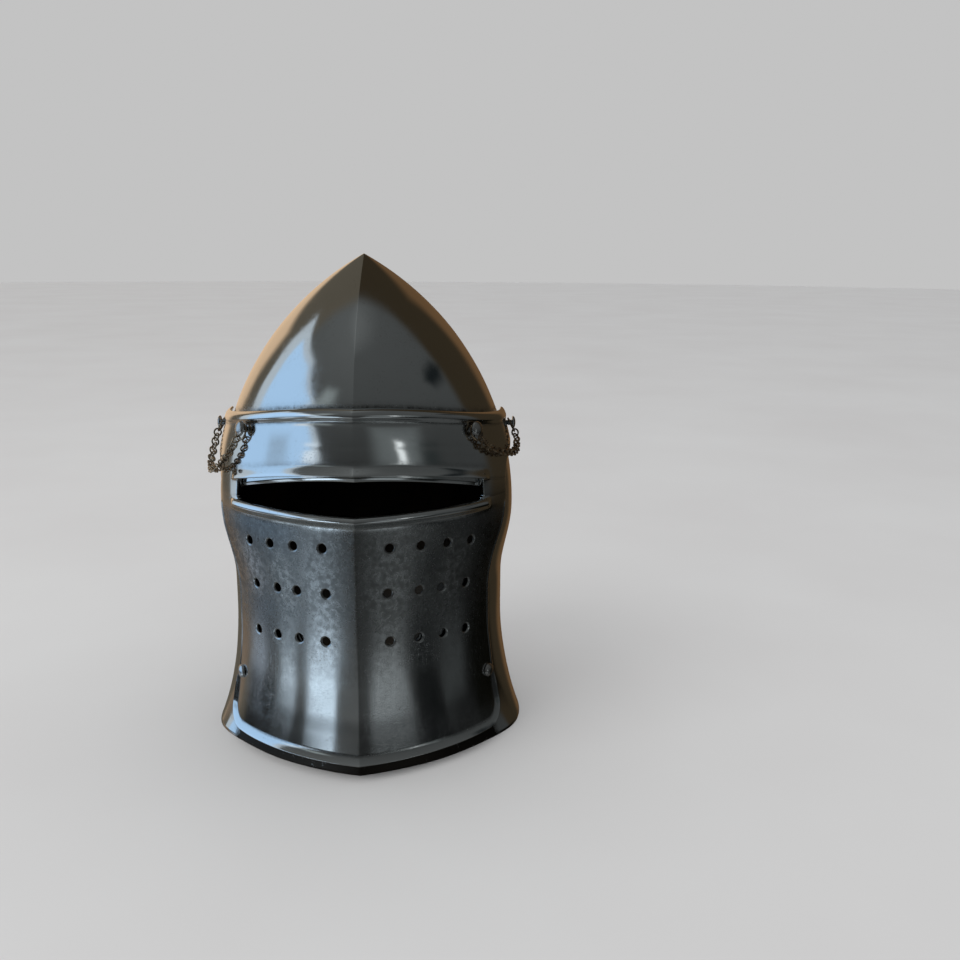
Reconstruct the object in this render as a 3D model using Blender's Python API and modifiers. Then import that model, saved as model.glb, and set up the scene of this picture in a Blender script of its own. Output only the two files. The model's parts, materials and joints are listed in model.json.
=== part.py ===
"""Barbute helmet with a full-face visor, in metres, +Z up, with its face towards -Y.

The origin is the middle of the base, on the plane that the helmet stands on. Angles round the helmet are
measured from the keel at the front: 0 is the face, 90 the right ear (+X) and 180 the nape.
"""

import math

import bmesh
import bpy
import numpy as np

MM = 0.001
GAP = 0.3 * MM
WALL = 1.6 * MM

# The skull's outline. Seen from the front, the dome is two arcs that meet in a point.
HEIGHT = 326 * MM
EAR_HALF = 101 * MM
EAR_Z = 155 * MM
WAIST_HALF = 93.5 * MM
WAIST_Z = 108 * MM
FLARE = 14.5 * MM
FLARE_Z = 85 * MM
LOBE = 3 * MM
LOBE_ANGLE = 68
LOBE_SPREAD = 14
LOBE_Z = 40 * MM
AXIS_Y = -1.8 * MM
FRONT_DEPTH = 103 * MM
BROW_Z = 205 * MM
BACK_DEPTH = 112 * MM
CROWN_BACK_Z = 185 * MM
NAPE_DEPTH = 97 * MM
NAPE_Z = 75 * MM
NAPE_FLARE = 20 * MM
FRONT_KEEL = math.tan(math.radians(13))
BACK_KEEL = math.tan(math.radians(8))
SKULL_SIDES = 44

# The face opening in the skull, seen from the front, from the chin up to the brow's corner.
FACE_OPENING = (
    # half width, height, in mm
    (7, 14),
    (10, 19),
    (13, 32),
    (21, 55),
    (33, 80),
    (47, 104),
    (62, 126),
    (75, 143),
    (83, 156),
    (86.5, 166),
    (86.5, 173),
    (82, 178.5),
    (66, 184.5),
    (40, 190.2),
    (20, 192.6),
)
BROW_EDGE_Z = 193.5 * MM

# The visor turns on two pins at the ears.
PIVOT_Z = 212 * MM
PIVOT_Y = AXIS_Y
PIN_OUT = 4.5 * MM
# The visor's rows from top to bottom. Heights in mm are at the keel and at its side; out is how far the outside
# stands off the skull at the keel and at the side; lip is how much more it stands off beside the eye slot, which
# fades out behind the slot; end is the angle of the side edge.
BAND = (
    # keel z, ear z, keel out, ear out, lip, end
    (237.5, 222.5, 2.4, 4.0, 0.0, 92.0),
    (234.5, 219.5, 6.4, 5.0, 0.0, 93.5),
    (229.5, 214.5, 3.9, 4.3, 0.0, 94.5),
    (218.0, 203.0, 3.6, 4.0, 0.0, 92.0),
    (213.0, 196.5, 3.7, 3.9, 0.0, 78.0),
    (203.5, 184.0, 4.0, 3.8, 0.0, 68.0),
    (198.5, 177.0, 4.2, 3.6, 4.8, 66.0),
)
PLATE = (
    # keel z, side z, keel out, side out, lip, end
    (174.0, 171.5, 4.0, 3.6, 0.0, 66.0),
    (170.5, 168.5, 4.4, 3.6, 5.1, 65.8),
    (165.0, 163.5, 4.2, 3.6, 0.0, 65.0),
    (154.0, 153.5, 3.5, 3.6, 0.0, 62.8),
    (143.0, 143.0, 3.3, 3.6, 0.0, 60.3),
    (132.0, 132.0, 3.2, 3.6, 0.0, 58.8),
    (117.0, 117.0, 3.1, 3.6, 0.0, 58.6),
    (99.0, 99.0, 3.1, 3.6, 0.0, 58.8),
    (80.0, 80.0, 3.1, 3.6, 0.0, 59.3),
    (60.0, 60.0, 3.2, 3.6, 0.0, 60.3),
    (42.0, 42.0, 3.6, 3.6, 0.0, 60.3),
    (28.0, 28.0, 4.3, 3.6, 0.0, 58.5),
    (18.5, 19.0, 5.6, 4.2, 0.0, 56.0),
    (11.5, 11.5, 8.8, 6.4, 0.0, 49.0),
)

# The eye slot ends at EYE_END degrees, or at EYE_SHARE of the way to the side on a narrower row, and the lips beside
# it fade out by LIP_END. Below the band a row has dropped to its side height by SIDE_TURN. Behind FRONT_END the band
# alone goes on, as an arm to the pivot.
EYE_END = 50
EYE_SHARE = 0.8
LIP_END = 56
SIDE_TURN = 60
FRONT_END = 66
FRONT_STEPS = 13
SIDE_STEPS = 2
EAR_STEPS = 4

# Breath holes: for each row its height at the keel, and the angles of its four holes on each side.
HOLE_RADIUS = 3.25 * MM
HOLE_ROWS = (
    (151.5 * MM, (11.5, 22.5, 32.5, 43)),
    (122.5 * MM, (11.2, 23, 32, 43.8)),
    (91 * MM, (12, 23, 33.2, 44.2)),
)
HOLE_ROW_DROP = 9 * MM

# Rivets and studs: the radius and height of the domed head, and the radius of the shank.
STUD_HEAD = (4.8 * MM, 3.0 * MM)
STUD_SHANK = 1.9 * MM
STUD_NECK = 3.6 * MM
PIN_HEAD = (4.4 * MM, 2.2 * MM)
PIN_SHANK = 1.6 * MM
COLLAR_OUT = 0.65 * MM
STUD_ANGLE = 49
STUD_Z = 218 * MM
RIVET_HEAD = (4.4 * MM, 2.6 * MM)
RIVET_SHANK = 1.6 * MM
RIVET_ANGLE = 56.5
RIVET_Z = 49.5 * MM
ROUND_SIDES = 16

# Chain rings: radius to the middle of the wire, and the wire's radius.
RING = 2.54 * MM
END_RING = 5.1 * MM
WIRE = 0.58 * MM
RING_SIDES = 10
WIRE_SIDES = 5
CHAIN_OUT = 7.6 * MM
LINK_GAP = 2.6 * WIRE
END_TILT = math.radians(10)
FIRST_TILT = math.radians(10)
CHAINS = {"left": (-1, 26, 106 * MM), "right": (1, 22, 52 * MM)}


def smooth(value, low, high):
    """0 below low, 1 above high, and a cubic between."""
    t = np.clip((value - low) / (high - low), 0, 1)
    return t * t * (3 - 2 * t)


def half_width(z):
    """Half of the skull's width at height z: an arc up to the point, a waist, and a flare at the edge."""
    rise = HEIGHT - EAR_Z
    arc = (rise**2 + EAR_HALF**2) / (2 * EAR_HALF)
    above = np.clip(z - EAR_Z, 0, rise)
    dome = EAR_HALF - arc + np.sqrt(arc**2 - above**2)
    flare = FLARE * np.clip(1 - z / FLARE_Z, 0, 1) ** 2
    side = WAIST_HALF + flare + (EAR_HALF - WAIST_HALF) * smooth(z, WAIST_Z, EAR_Z)
    return np.where(z > EAR_Z, dome, side)


def front_depth(z):
    """From the axis to the front keel: upright over the face, then over in a power curve to the point."""
    return FRONT_DEPTH * (1 - np.clip((z - BROW_Z) / (HEIGHT - BROW_Z), 0, 1) ** 2.5)


def back_depth(z):
    """From the axis to the back keel: the crown, the nape's hollow, and the flare at the edge."""
    crown = BACK_DEPTH * (1 - np.clip((z - CROWN_BACK_Z) / (HEIGHT - CROWN_BACK_Z), 0, 1) ** 2.4)
    nape = NAPE_DEPTH + (BACK_DEPTH - NAPE_DEPTH) * smooth(z, NAPE_Z, CROWN_BACK_Z)
    nape = nape + NAPE_FLARE * np.clip(1 - z / NAPE_Z, 0, 1) ** 2
    return np.where(z > CROWN_BACK_Z, crown, nape)


def wall(z, angle, out=0.0):
    """Points of the skull's outside at heights z and angles in degrees, moved outwards by out.

    The plan is half an ellipse to the front and half to the back, each drawn out to a keel.
    """
    turn = np.radians(angle)
    side, ahead = np.abs(np.sin(turn)), np.cos(turn)
    half = half_width(z) + out
    depth = np.where(ahead >= 0, front_depth(z), back_depth(z)) + out
    keel = half * np.where(ahead >= 0, FRONT_KEEL, BACK_KEEL)
    reach = (depth - keel) * np.abs(ahead) + keel * (1 - side)
    y = AXIS_Y - np.sign(ahead) * reach
    return np.stack(np.broadcast_arrays(half * np.sin(turn), y, z), axis=-1)


def wall_frame(z, angle, out=0.0):
    """A point of that wall and its outward normal there."""
    step = 0.01
    point = wall(np.float64(z), angle, out)
    round_it = wall(np.float64(z), angle + step, out) - wall(np.float64(z), angle - step, out)
    up_it = wall(np.float64(z + step * MM), angle, out) - wall(np.float64(z - step * MM), angle, out)
    normal = np.cross(round_it, up_it)
    return point, normal / np.linalg.norm(normal)


def material(name, colour, roughness, metallic=1.0):
    made = bpy.data.materials.new(name)
    made.use_nodes = True
    shader = made.node_tree.nodes["Principled BSDF"]
    shader.inputs["Base Color"].default_value = (*colour, 1)
    shader.inputs["Roughness"].default_value = roughness
    shader.inputs["Metallic"].default_value = metallic
    return made


def mesh_object(name, points, faces, home, finish=None):
    mesh = bpy.data.meshes.new(name)
    mesh.from_pydata([tuple(point) for point in points], [], faces)
    mesh.update()
    made = bpy.data.objects.new(name, mesh)
    if finish:
        mesh.materials.append(finish)
    home.objects.link(made)
    return made


def hide_cutter(cutter):
    cutter.hide_render = True
    cutter.display_type = "WIRE"


def cut(target, cutter):
    modifier = target.modifiers.new(cutter.name, "BOOLEAN")
    modifier.operation = "DIFFERENCE"
    modifier.solver = "EXACT"
    modifier.object = cutter


def thicken(target):
    shell = target.modifiers.new("wall", "SOLIDIFY")
    shell.thickness = WALL
    shell.offset = -1
    shell.use_even_offset = True


def basis(normal, up=(0, 0, 1)):
    """Two unit directions at right angles to a normal, the second as near to up as it can be."""
    across = np.cross(up, np.asarray(normal, dtype=float))
    across /= np.linalg.norm(across)
    return across, np.cross(normal, across)


def turned(profile, centre, normal, sides=ROUND_SIDES):
    """Points and faces of a closed turned shape; profile holds (radius, height) from its low pole to its top."""
    across, upward = basis(normal)
    turns = np.arange(sides) * 2 * math.pi / sides
    rim = np.cos(turns)[:, None] * across + np.sin(turns)[:, None] * upward
    points, faces = [centre + profile[0][1] * normal], []
    for radius, height in profile[1:-1]:
        points.extend(centre + height * normal + radius * rim)
    points.append(centre + profile[-1][1] * normal)
    last = len(points) - 1
    for k in range(sides):
        after = (k + 1) % sides
        faces.append((0, 1 + after, 1 + k))
        for ring in range(len(profile) - 3):
            low, high = 1 + ring * sides, 1 + (ring + 1) * sides
            faces.append((low + k, low + after, high + after, high + k))
        faces.append((last, last - sides + k, last - sides + after))
    return points, faces


def dome(head, neck, base):
    """The profile of a domed head, from its underside at height base to its top."""
    radius, height = head
    arcs = np.radians((0, 25, 50, 72))
    outer = [(radius * math.cos(a), base + height * (0.15 + 0.85 * math.sin(a))) for a in arcs]
    return [(neck, base), (radius, base)] + outer + [(0, base + height)]


def skull(home, cutters, finish):
    """The one-piece body: a grid of the wall's points from the edge to the point, made into a sheet."""
    below = -3 * MM
    heights = np.concatenate([
        [below, 4 * MM, 14 * MM, 28 * MM, 48 * MM, 72 * MM, 96 * MM, 116 * MM, 136 * MM, 156 * MM],
        np.linspace(178 * MM, HEIGHT - 26 * MM, 6),
        [HEIGHT - 15 * MM, HEIGHT - 6 * MM],
    ])
    angles = np.arange(SKULL_SIDES) * 360 / SKULL_SIDES
    z, angle = np.meshgrid(heights, angles, indexing="ij")
    away = np.abs((angle + 180) % 360 - 180)
    lobe = LOBE * np.exp(-(((away - LOBE_ANGLE) / LOBE_SPREAD) ** 2)) * np.clip(1 - z / LOBE_Z, 0, 1) ** 2
    points = list(wall(z, angle, lobe).reshape(-1, 3)) + [(0, AXIS_Y, HEIGHT)]
    faces = []
    for row in range(len(heights) - 1):
        for k in range(SKULL_SIDES):
            after = (k + 1) % SKULL_SIDES
            low, high = row * SKULL_SIDES, (row + 1) * SKULL_SIDES
            faces.append((low + k, low + after, high + after, high + k))
    top = (len(heights) - 1) * SKULL_SIDES
    faces += [(top + k, top + (k + 1) % SKULL_SIDES, len(points) - 1) for k in range(SKULL_SIDES)]
    body = mesh_object("skull", points, faces, home, finish)
    thicken(body)
    cut(body, base_cutter(cutters))
    cut(body, face_cutter(cutters))
    cut(body, pin_cutter(cutters))
    return body


def base_cutter(cutters):
    """Everything below the base plane, so that the lower edge is flat."""
    deep = 20 * MM
    made = mesh_object("base_cutter", [], [], cutters)
    shape = bmesh.new()
    bmesh.ops.create_cube(shape, size=1)
    bmesh.ops.scale(shape, vec=(0.4, 0.4, deep), verts=shape.verts)
    bmesh.ops.translate(shape, vec=(0, 0, -deep / 2), verts=shape.verts)
    shape.to_mesh(made.data)
    shape.free()
    hide_cutter(made)
    return made


def face_cutter(cutters):
    """The face opening, an outline seen from the front: wide at the eyes, and closing towards the chin."""
    right = [(half * MM, z * MM) for half, z in FACE_OPENING]
    outline = right + [(0, BROW_EDGE_Z)] + [(-x, z) for x, z in reversed(right)]
    front, back = -150 * MM, -20 * MM
    count = len(outline)
    points = [(x, y, z) for y in (front, back) for x, z in outline]
    faces = [tuple(range(count)), tuple(range(2 * count - 1, count - 1, -1))]
    faces += [(k, count + k, count + (k + 1) % count, (k + 1) % count) for k in range(count)]
    made = mesh_object("face_cutter", points, faces, cutters)
    outward(made)
    hide_cutter(made)
    return made


def outward(made):
    shape = bmesh.new()
    shape.from_mesh(made.data)
    bmesh.ops.recalc_face_normals(shape, faces=shape.faces)
    shape.to_mesh(made.data)
    shape.free()


def round_cutter(name, spots, cutters):
    """One cutter of many short rods; each spot is a middle, a direction, a radius and a half length."""
    points, faces = [], []
    for middle, direction, radius, reach in spots:
        profile = [(0, -reach), (radius, -reach), (radius, reach), (0, reach)]
        more, sides = turned(profile, np.array(middle), np.array(direction, dtype=float), 12)
        faces += [tuple(len(points) + corner for corner in face) for face in sides]
        points += more
    made = mesh_object(name, points, faces, cutters)
    outward(made)
    hide_cutter(made)
    return made


def pin_cutter(cutters):
    spots = []
    for side in (-1, 1):
        middle = (side * half_width(PIVOT_Z), PIVOT_Y, PIVOT_Z)
        spots.append((middle, (side, 0, 0), PIN_SHANK + GAP, 8 * MM))
    return round_cutter("pin_cutter", spots, cutters)


def stand_off(angle, keel_out, side_out, lip, blend):
    """How far the visor's outside stands off the skull; the lip sinks by half towards the slot's end, and ends."""
    sunk = 1 - 0.5 * (np.sin(np.radians(angle)) / math.sin(math.radians(EYE_END))) ** 2
    return keel_out + (side_out - keel_out) * blend + lip * sunk * (1 - smooth(angle, EYE_END, LIP_END))


def visor_grid():
    """The visor's points by row and column: columns reach the slot's end, then the side, then the row's own end."""
    share = np.concatenate([
        np.linspace(0, 1, FRONT_STEPS),
        1 + np.linspace(0, 1, SIDE_STEPS + 1)[1:],
        2 + np.linspace(0, 1, EAR_STEPS + 1)[1:],
    ])
    rows = []
    for keel_z, side_z, keel_out, side_out, lip, end in BAND + PLATE:
        front = min(end, FRONT_END)
        angle = np.interp(share, (0, 1, 2, 3), (0, min(EYE_END, EYE_SHARE * front), front, end))
        full = 90 if keel_z > PLATE[0][0] else SIDE_TURN
        blend = (np.sin(np.radians(angle)) / math.sin(math.radians(full))) ** 2
        out = stand_off(angle, keel_out, side_out, lip, blend)
        rows.append((angle, keel_z + (side_z - keel_z) * blend, out))
    angle, z, out = (np.array(part) for part in zip(*rows))
    mirror = np.concatenate([-angle[:, :0:-1], angle], axis=1)
    z = np.concatenate([z[:, :0:-1], z], axis=1) * MM
    out = np.concatenate([out[:, :0:-1], out], axis=1) * MM
    return wall(z, mirror, out)


def visor(home, cutters, finish):
    """The face plate: the grid's cells, without those of the eye slot and those behind the side edges."""
    grid = visor_grid()
    rows, columns = grid.shape[:2]
    middle = columns // 2
    faces = []
    for row in range(rows - 1):
        for column in range(columns - 1):
            away = column - middle if column >= middle else middle - 1 - column
            in_slot = row == len(BAND) - 1 and away < FRONT_STEPS - 1
            in_ear = away >= FRONT_STEPS - 1 + SIDE_STEPS
            if in_slot or (in_ear and row >= len(BAND) - 2):
                continue
            at = row * columns + column
            faces.append((at, at + columns, at + columns + 1, at + 1))
    used = sorted({corner for face in faces for corner in face})
    new = {old: k for k, old in enumerate(used)}
    points = grid.reshape(-1, 3)[used]
    plate = mesh_object("visor", points, [tuple(new[c] for c in face) for face in faces], home, finish)
    thicken(plate)
    cut(plate, visor_cutter(cutters))
    return plate


def on_visor(z, angle):
    """A point of the visor's outside, and the normal there; angle is positive towards +X."""
    turn = math.sin(math.radians(angle)) ** 2
    rows = BAND if z > PLATE[0][0] * MM else PLATE
    full = 1 if rows is BAND else math.sin(math.radians(SIDE_TURN)) ** 2
    heights = [(keel + (side - keel) * turn / full) * MM for keel, side, *_ in rows]
    outs = [(keel + (side - keel) * turn / full) * MM for _, _, keel, side, *_ in rows]
    return wall_frame(z, angle, np.interp(-z, -np.array(heights), outs))


def visor_cutter(cutters):
    """The breath holes and the holes for the studs, the rivets and the pins."""
    reach = 6 * MM
    spots = []
    for side in (-1, 1):
        for keel_z, angles in HOLE_ROWS:
            for angle in angles:
                z = keel_z - HOLE_ROW_DROP * math.sin(math.radians(angle)) ** 2
                point, normal = on_visor(z, side * angle)
                spots.append((point, normal, HOLE_RADIUS, reach))
        point, normal = on_visor(STUD_Z, side * STUD_ANGLE)
        spots.append((point, normal, STUD_SHANK + GAP, reach))
        point, normal = on_visor(RIVET_Z, side * RIVET_ANGLE)
        spots.append((point, normal, RIVET_SHANK + GAP, reach))
        spots.append((pivot_point(side), (side, 0, 0), PIN_SHANK + GAP, reach))
    return round_cutter("visor_cutter", spots, cutters)


def fastener(name, point, normal, head, shank, neck, tail, home, finish, collar=None):
    """A domed head that stands neck off the plate, on a shank that ends tail below the plate's outside.

    A collar is a wider neck between the plate and the head.
    """
    step = [(shank, COLLAR_OUT), (collar, COLLAR_OUT)] if collar else []
    profile = [(0, -tail), (shank, -tail)] + step + dome(head, collar or shank, neck)
    points, faces = turned(profile, np.array(point), np.array(normal, dtype=float))
    made = mesh_object(name, points, faces, home, finish)
    outward(made)
    made.data.shade_smooth()
    made.data.set_sharp_from_angle(angle=math.radians(40))
    return made


def pivot_point(side):
    return np.array((side * (half_width(PIVOT_Z) + PIN_OUT), PIVOT_Y, PIVOT_Z))


def ring(name, centre, across, along, radius, home, finish):
    """A wire ring in the plane of two directions."""
    across, along = (np.array(part) / np.linalg.norm(part) for part in (across, along))
    normal = np.cross(across, along)
    turns = np.arange(RING_SIDES) * 2 * math.pi / RING_SIDES
    rolls = np.arange(WIRE_SIDES) * 2 * math.pi / WIRE_SIDES
    spoke = np.cos(turns)[:, None] * across + np.sin(turns)[:, None] * along
    reach = radius + WIRE * np.cos(rolls)
    points = centre + spoke[:, None, :] * reach[None, :, None]
    points = points + normal * (WIRE * np.sin(rolls))[None, :, None]
    faces = []
    for k in range(RING_SIDES):
        for j in range(WIRE_SIDES):
            k2, j2 = (k + 1) % RING_SIDES, (j + 1) % WIRE_SIDES
            faces.append((k * WIRE_SIDES + j, k2 * WIRE_SIDES + j, k2 * WIRE_SIDES + j2, k * WIRE_SIDES + j2))
    made = mesh_object(name, points.reshape(-1, 3), faces, home, finish)
    outward(made)
    made.data.shade_smooth()
    return made


def chain(side_name, home, finish):
    """One chain: an end ring on the stud's neck, small rings down in a loop, an end ring on the pin's neck.

    The loop is a cubic curve that leaves both end rings in the way they hang; a stronger pull sags it more.
    """
    side, count, pull = CHAINS[side_name]
    hang = END_RING - WIRE - STUD_SHANK - 0.15 * MM
    stud, stud_normal = on_visor(STUD_Z, side * STUD_ANGLE)
    pin, pin_normal = pivot_point(side), wall_frame(PIVOT_Z, side * 90)[1]
    ends, ways = [], []
    for end_name, point, normal, lean in (("front", stud, stud_normal, 0.5), ("back", pin, pin_normal, -0.35)):
        back, up = basis(normal)
        back = back if back[1] > 0 else -back
        down = (lean * back - up) / math.hypot(lean, 1)
        hung = math.cos(END_TILT) * down + math.sin(END_TILT) * normal
        middle = point + normal * STUD_NECK / 2 + hung * hang
        ring(f"chain_{side_name}_{end_name}", middle, np.cross(normal, down), hung, END_RING, home, finish)
        onwards = math.cos(FIRST_TILT) * down + math.sin(FIRST_TILT) * normal
        ends.append(middle + hung * END_RING + onwards * (RING - LINK_GAP))
        ways.append(onwards)
    share = np.linspace(0, 1, 400)[:, None]
    path = (2 * share**3 - 3 * share**2 + 1) * ends[0] + (share**3 - 2 * share**2 + share) * pull * ways[0]
    path = path + (3 * share**2 - 2 * share**3) * ends[1] + (share**2 - share**3) * pull * ways[1]
    share = share[:, 0]
    x = chain_x(path[:, 1], path[:, 2], side)
    path[:, 0] = x + (ends[0][0] - x[0]) * (1 - share) ** 3 + (ends[1][0] - x[-1]) * share**3
    length = np.append(0, np.cumsum(np.linalg.norm(np.diff(path, axis=0), axis=1)))
    spots = np.linspace(0, length[-1], count)
    centres = np.stack([np.interp(spots, length, path[:, k]) for k in range(3)], axis=-1)
    along = np.gradient(centres, axis=0)
    along[0], along[-1] = ways[0], -ways[1]
    for k in range(count):
        tangent = along[k] / np.linalg.norm(along[k])
        outwards = np.array((side, 0.0, 0.0)) - tangent * tangent[0] * side
        outwards /= np.linalg.norm(outwards)
        lean = side * math.radians(-45 if k % 2 else 45)
        across = math.cos(lean) * outwards + math.sin(lean) * np.cross(tangent, outwards)
        ring(f"chain_{side_name}_{k + 1:02d}", centres[k], across, tangent, RING, home, finish)


def chain_x(y, z, side):
    """How far to the side the chain's middle lies at depth y and height z, clear of the visor's ear."""
    ahead = np.clip((AXIS_Y - y) / FRONT_DEPTH, -0.3, 0.9)
    angle = np.degrees(np.arccos(ahead))
    return side * (wall(z, np.clip(angle, 0, 90))[:, 0] + CHAIN_OUT)


def main():
    for old in list(bpy.data.objects):
        bpy.data.objects.remove(old)
    home = bpy.data.collections.new("barbute")
    cutters = bpy.data.collections.new("cutters")
    for made in (home, cutters):
        bpy.context.scene.collection.children.link(made)
    steel = material("polished_steel", (0.55, 0.57, 0.6), 0.22)
    dark_steel = material("blackened_steel", (0.09, 0.075, 0.06), 0.4)
    skull(home, cutters, steel)
    visor(home, cutters, steel)
    for name, side in (("left", -1), ("right", 1)):
        point, normal = on_visor(STUD_Z, side * STUD_ANGLE)
        tail = WALL + 0.2 * MM
        fastener(f"chain_stud_{name}", point, normal, STUD_HEAD, STUD_SHANK, STUD_NECK, tail, home, steel)
        pin = pivot_point(side)
        reach = 9 * MM
        fastener(f"pivot_{name}", pin, (side, 0, 0), PIN_HEAD, PIN_SHANK, STUD_NECK, reach, home, steel, STUD_SHANK)
        point, normal = on_visor(RIVET_Z, side * RIVET_ANGLE)
        fastener(f"side_rivet_{name}", point, normal, RIVET_HEAD, RIVET_SHANK, GAP, tail, home, steel)
        chain(name, home, dark_steel)


main()
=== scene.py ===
"""Looks of the barbute: the skull, its visor, the studs, pins and rivets, and the two chains.

Lengths are in millimetres until a mesh is made. Angles round the helmet are measured in degrees from
the keel at the front: 0 is the face, 90 is at +X and 180 is the nape. Left and right are as seen from
the front.
"""

import json
import math
import bpy
import numpy as np
from mathutils import Matrix, Vector


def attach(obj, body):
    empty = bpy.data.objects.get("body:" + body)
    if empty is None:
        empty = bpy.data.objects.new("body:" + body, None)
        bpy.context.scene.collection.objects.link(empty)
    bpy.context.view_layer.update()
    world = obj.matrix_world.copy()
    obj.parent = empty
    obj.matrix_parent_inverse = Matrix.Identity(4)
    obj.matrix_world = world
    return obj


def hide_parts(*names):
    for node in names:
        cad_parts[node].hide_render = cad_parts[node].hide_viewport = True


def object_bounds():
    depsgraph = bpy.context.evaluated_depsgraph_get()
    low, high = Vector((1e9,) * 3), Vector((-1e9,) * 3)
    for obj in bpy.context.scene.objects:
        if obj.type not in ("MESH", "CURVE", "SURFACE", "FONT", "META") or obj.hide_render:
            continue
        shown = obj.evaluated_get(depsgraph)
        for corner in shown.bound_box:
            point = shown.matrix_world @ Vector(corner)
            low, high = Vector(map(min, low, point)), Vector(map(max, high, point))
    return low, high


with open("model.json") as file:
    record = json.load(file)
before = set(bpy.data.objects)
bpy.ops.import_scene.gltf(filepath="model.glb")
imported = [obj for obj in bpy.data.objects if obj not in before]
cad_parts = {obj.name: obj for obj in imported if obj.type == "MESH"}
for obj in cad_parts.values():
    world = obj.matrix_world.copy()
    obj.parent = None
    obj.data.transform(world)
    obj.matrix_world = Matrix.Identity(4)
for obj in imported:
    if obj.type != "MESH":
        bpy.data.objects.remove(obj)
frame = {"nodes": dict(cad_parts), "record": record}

CAD_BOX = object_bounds()
MM = 0.001
PIVOT_Y, PIVOT_Z = (value / MM for value in frame["record"]["behaviour"]["joints"][0]["pos_m"][1:])
AXIS_Y = PIVOT_Y

# The skull's walls: half widths and depths from the axis, each with the height it belongs to.
HEIGHT = CAD_BOX[1].z / MM
WALL = 1.6
EAR_HALF, EAR_Z = 101, 155
WAIST_HALF, WAIST_Z = 93.5, 108
FLARE, FLARE_Z = 14.5, 85
LOBE, LOBE_ANGLE, LOBE_SPREAD, LOBE_Z = 3, 68, 14, 40
FRONT_DEPTH, BROW_Z, FRONT_POWER = 103, 205, 2.5
BACK_DEPTH, CROWN_BACK_Z, BACK_POWER = 112, 185, 2.4
NAPE_DEPTH, NAPE_Z, NAPE_FLARE = 97, 75, 20

# How sharply the two keels break, how far their corner is rounded, and about how long a degree is on
# the wall.
FRONT_KEEL, BACK_KEEL = math.tan(math.radians(13)), math.tan(math.radians(8))
KEEL_ROUND = 0.0035
MM_PER_DEGREE = 1.68

# The face opening's edge up the cheek: half its width at each height. Above CORNER_Z the brow's edge
# closes it, which dips by BROW_DIP from the keel to the side.
CHEEK_EDGE = np.array([
    # height, half width
    (14, 5), (15, 7.4), (18, 9.6), (32, 13), (55, 21), (80, 33), (104, 47), (126, 62), (143, 75), (156, 83),
    (165, 86.2), (172, 86.6),
])
CHIN_Z, CORNER_Z = 14, 172
BROW_Z_KEEL, BROW_DIP = 193.5, 21.5

# The visor from its top edge down. Heights are at the keel and at the side; out is how far the outside
# stands off the skull at the keel and at the side; lip is how much more it stands off beside the sight
# slot; end is the angle of the side edge.
BAND = np.array([
    # keel z, side z, keel out, side out, lip, end
    (237.8, 222.8, 2.2, 3.4, 0, 90.6),
    (237.5, 222.5, 3.7, 4.1, 0, 91.8),
    (236.6, 221.6, 5.6, 4.9, 0, 92.7),
    (234.9, 219.9, 6.6, 5.4, 0, 93.4),
    (233.2, 218.2, 6.4, 5.4, 0, 93.9),
    (231.7, 216.7, 5.2, 4.9, 0, 94.2),
    (230.6, 215.6, 3.9, 4.4, 0, 94.4),
    (229.6, 214.6, 3.4, 4.1, 0, 94.4),
    (227.6, 212.6, 3.6, 4.0, 0, 94.2),
    (222.0, 207.2, 3.6, 4.0, 0, 93.4),
    (218.0, 203.0, 3.6, 4.0, 0, 91.0),
    (215.6, 200.0, 3.6, 3.9, 0, 84.5),
    (212.6, 196.0, 3.7, 3.9, 0, 77.5),
    (208.6, 190.8, 3.8, 3.8, 0, 71.5),
    (204.9, 185.9, 3.9, 3.8, 0, 68.6),
    (203.6, 184.2, 4.0, 3.8, 0.1, 68.0),
    (202.4, 182.5, 4.1, 3.7, 1.0, 67.6),
    (199.6, 178.6, 4.1, 3.7, 4.0, 66.5),
    (198.5, 177.0, 4.1, 3.6, 4.9, 66.0),
])
STRIP = np.array([
    (198.0, 176.7, 4.1, 3.6, 2.3, 66.0),
    (197.0, 176.3, 4.0, 3.6, 0.4, 66.0),
    (186.5, 174.2, 4.0, 3.6, 0, 66.0),
    (176.0, 172.2, 4.0, 3.6, 0, 66.0),
])
PLATE = np.array([
    # keel z, side z, keel out, side out, lip, end
    (174.0, 171.5, 4.0, 3.6, 0.6, 66.0),
    (173.6, 171.1, 4.1, 3.6, 2.2, 66.0),
    (172.7, 170.3, 4.2, 3.6, 4.1, 65.9),
    (171.2, 169.0, 4.3, 3.6, 5.1, 65.8),
    (169.8, 167.8, 4.3, 3.6, 5.0, 65.7),
    (168.4, 166.5, 4.3, 3.6, 3.4, 65.5),
    (166.8, 165.0, 4.0, 3.6, 1.2, 65.3),
    (165.2, 163.6, 3.6, 3.6, 0.1, 65.0),
    (162.0, 160.8, 3.5, 3.6, 0, 64.4),
    (154.0, 153.5, 3.4, 3.6, 0, 62.8),
    (143.0, 143.0, 3.3, 3.6, 0, 60.3),
    (132.0, 132.0, 3.2, 3.6, 0, 58.8),
    (117.0, 117.0, 3.1, 3.6, 0, 58.6),
    (99.0, 99.0, 3.1, 3.6, 0, 58.8),
    (80.0, 80.0, 3.1, 3.6, 0, 59.3),
    (60.0, 60.0, 3.2, 3.6, 0, 60.3),
    (42.0, 42.0, 3.6, 3.6, 0, 60.4),
    (28.0, 28.0, 4.3, 3.7, 0, 60.2),
    (11.5, 11.5, 5.4, 3.9, 0, 59.8),
])
VISOR_ROWS = np.vstack([BAND, STRIP, PLATE])

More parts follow.
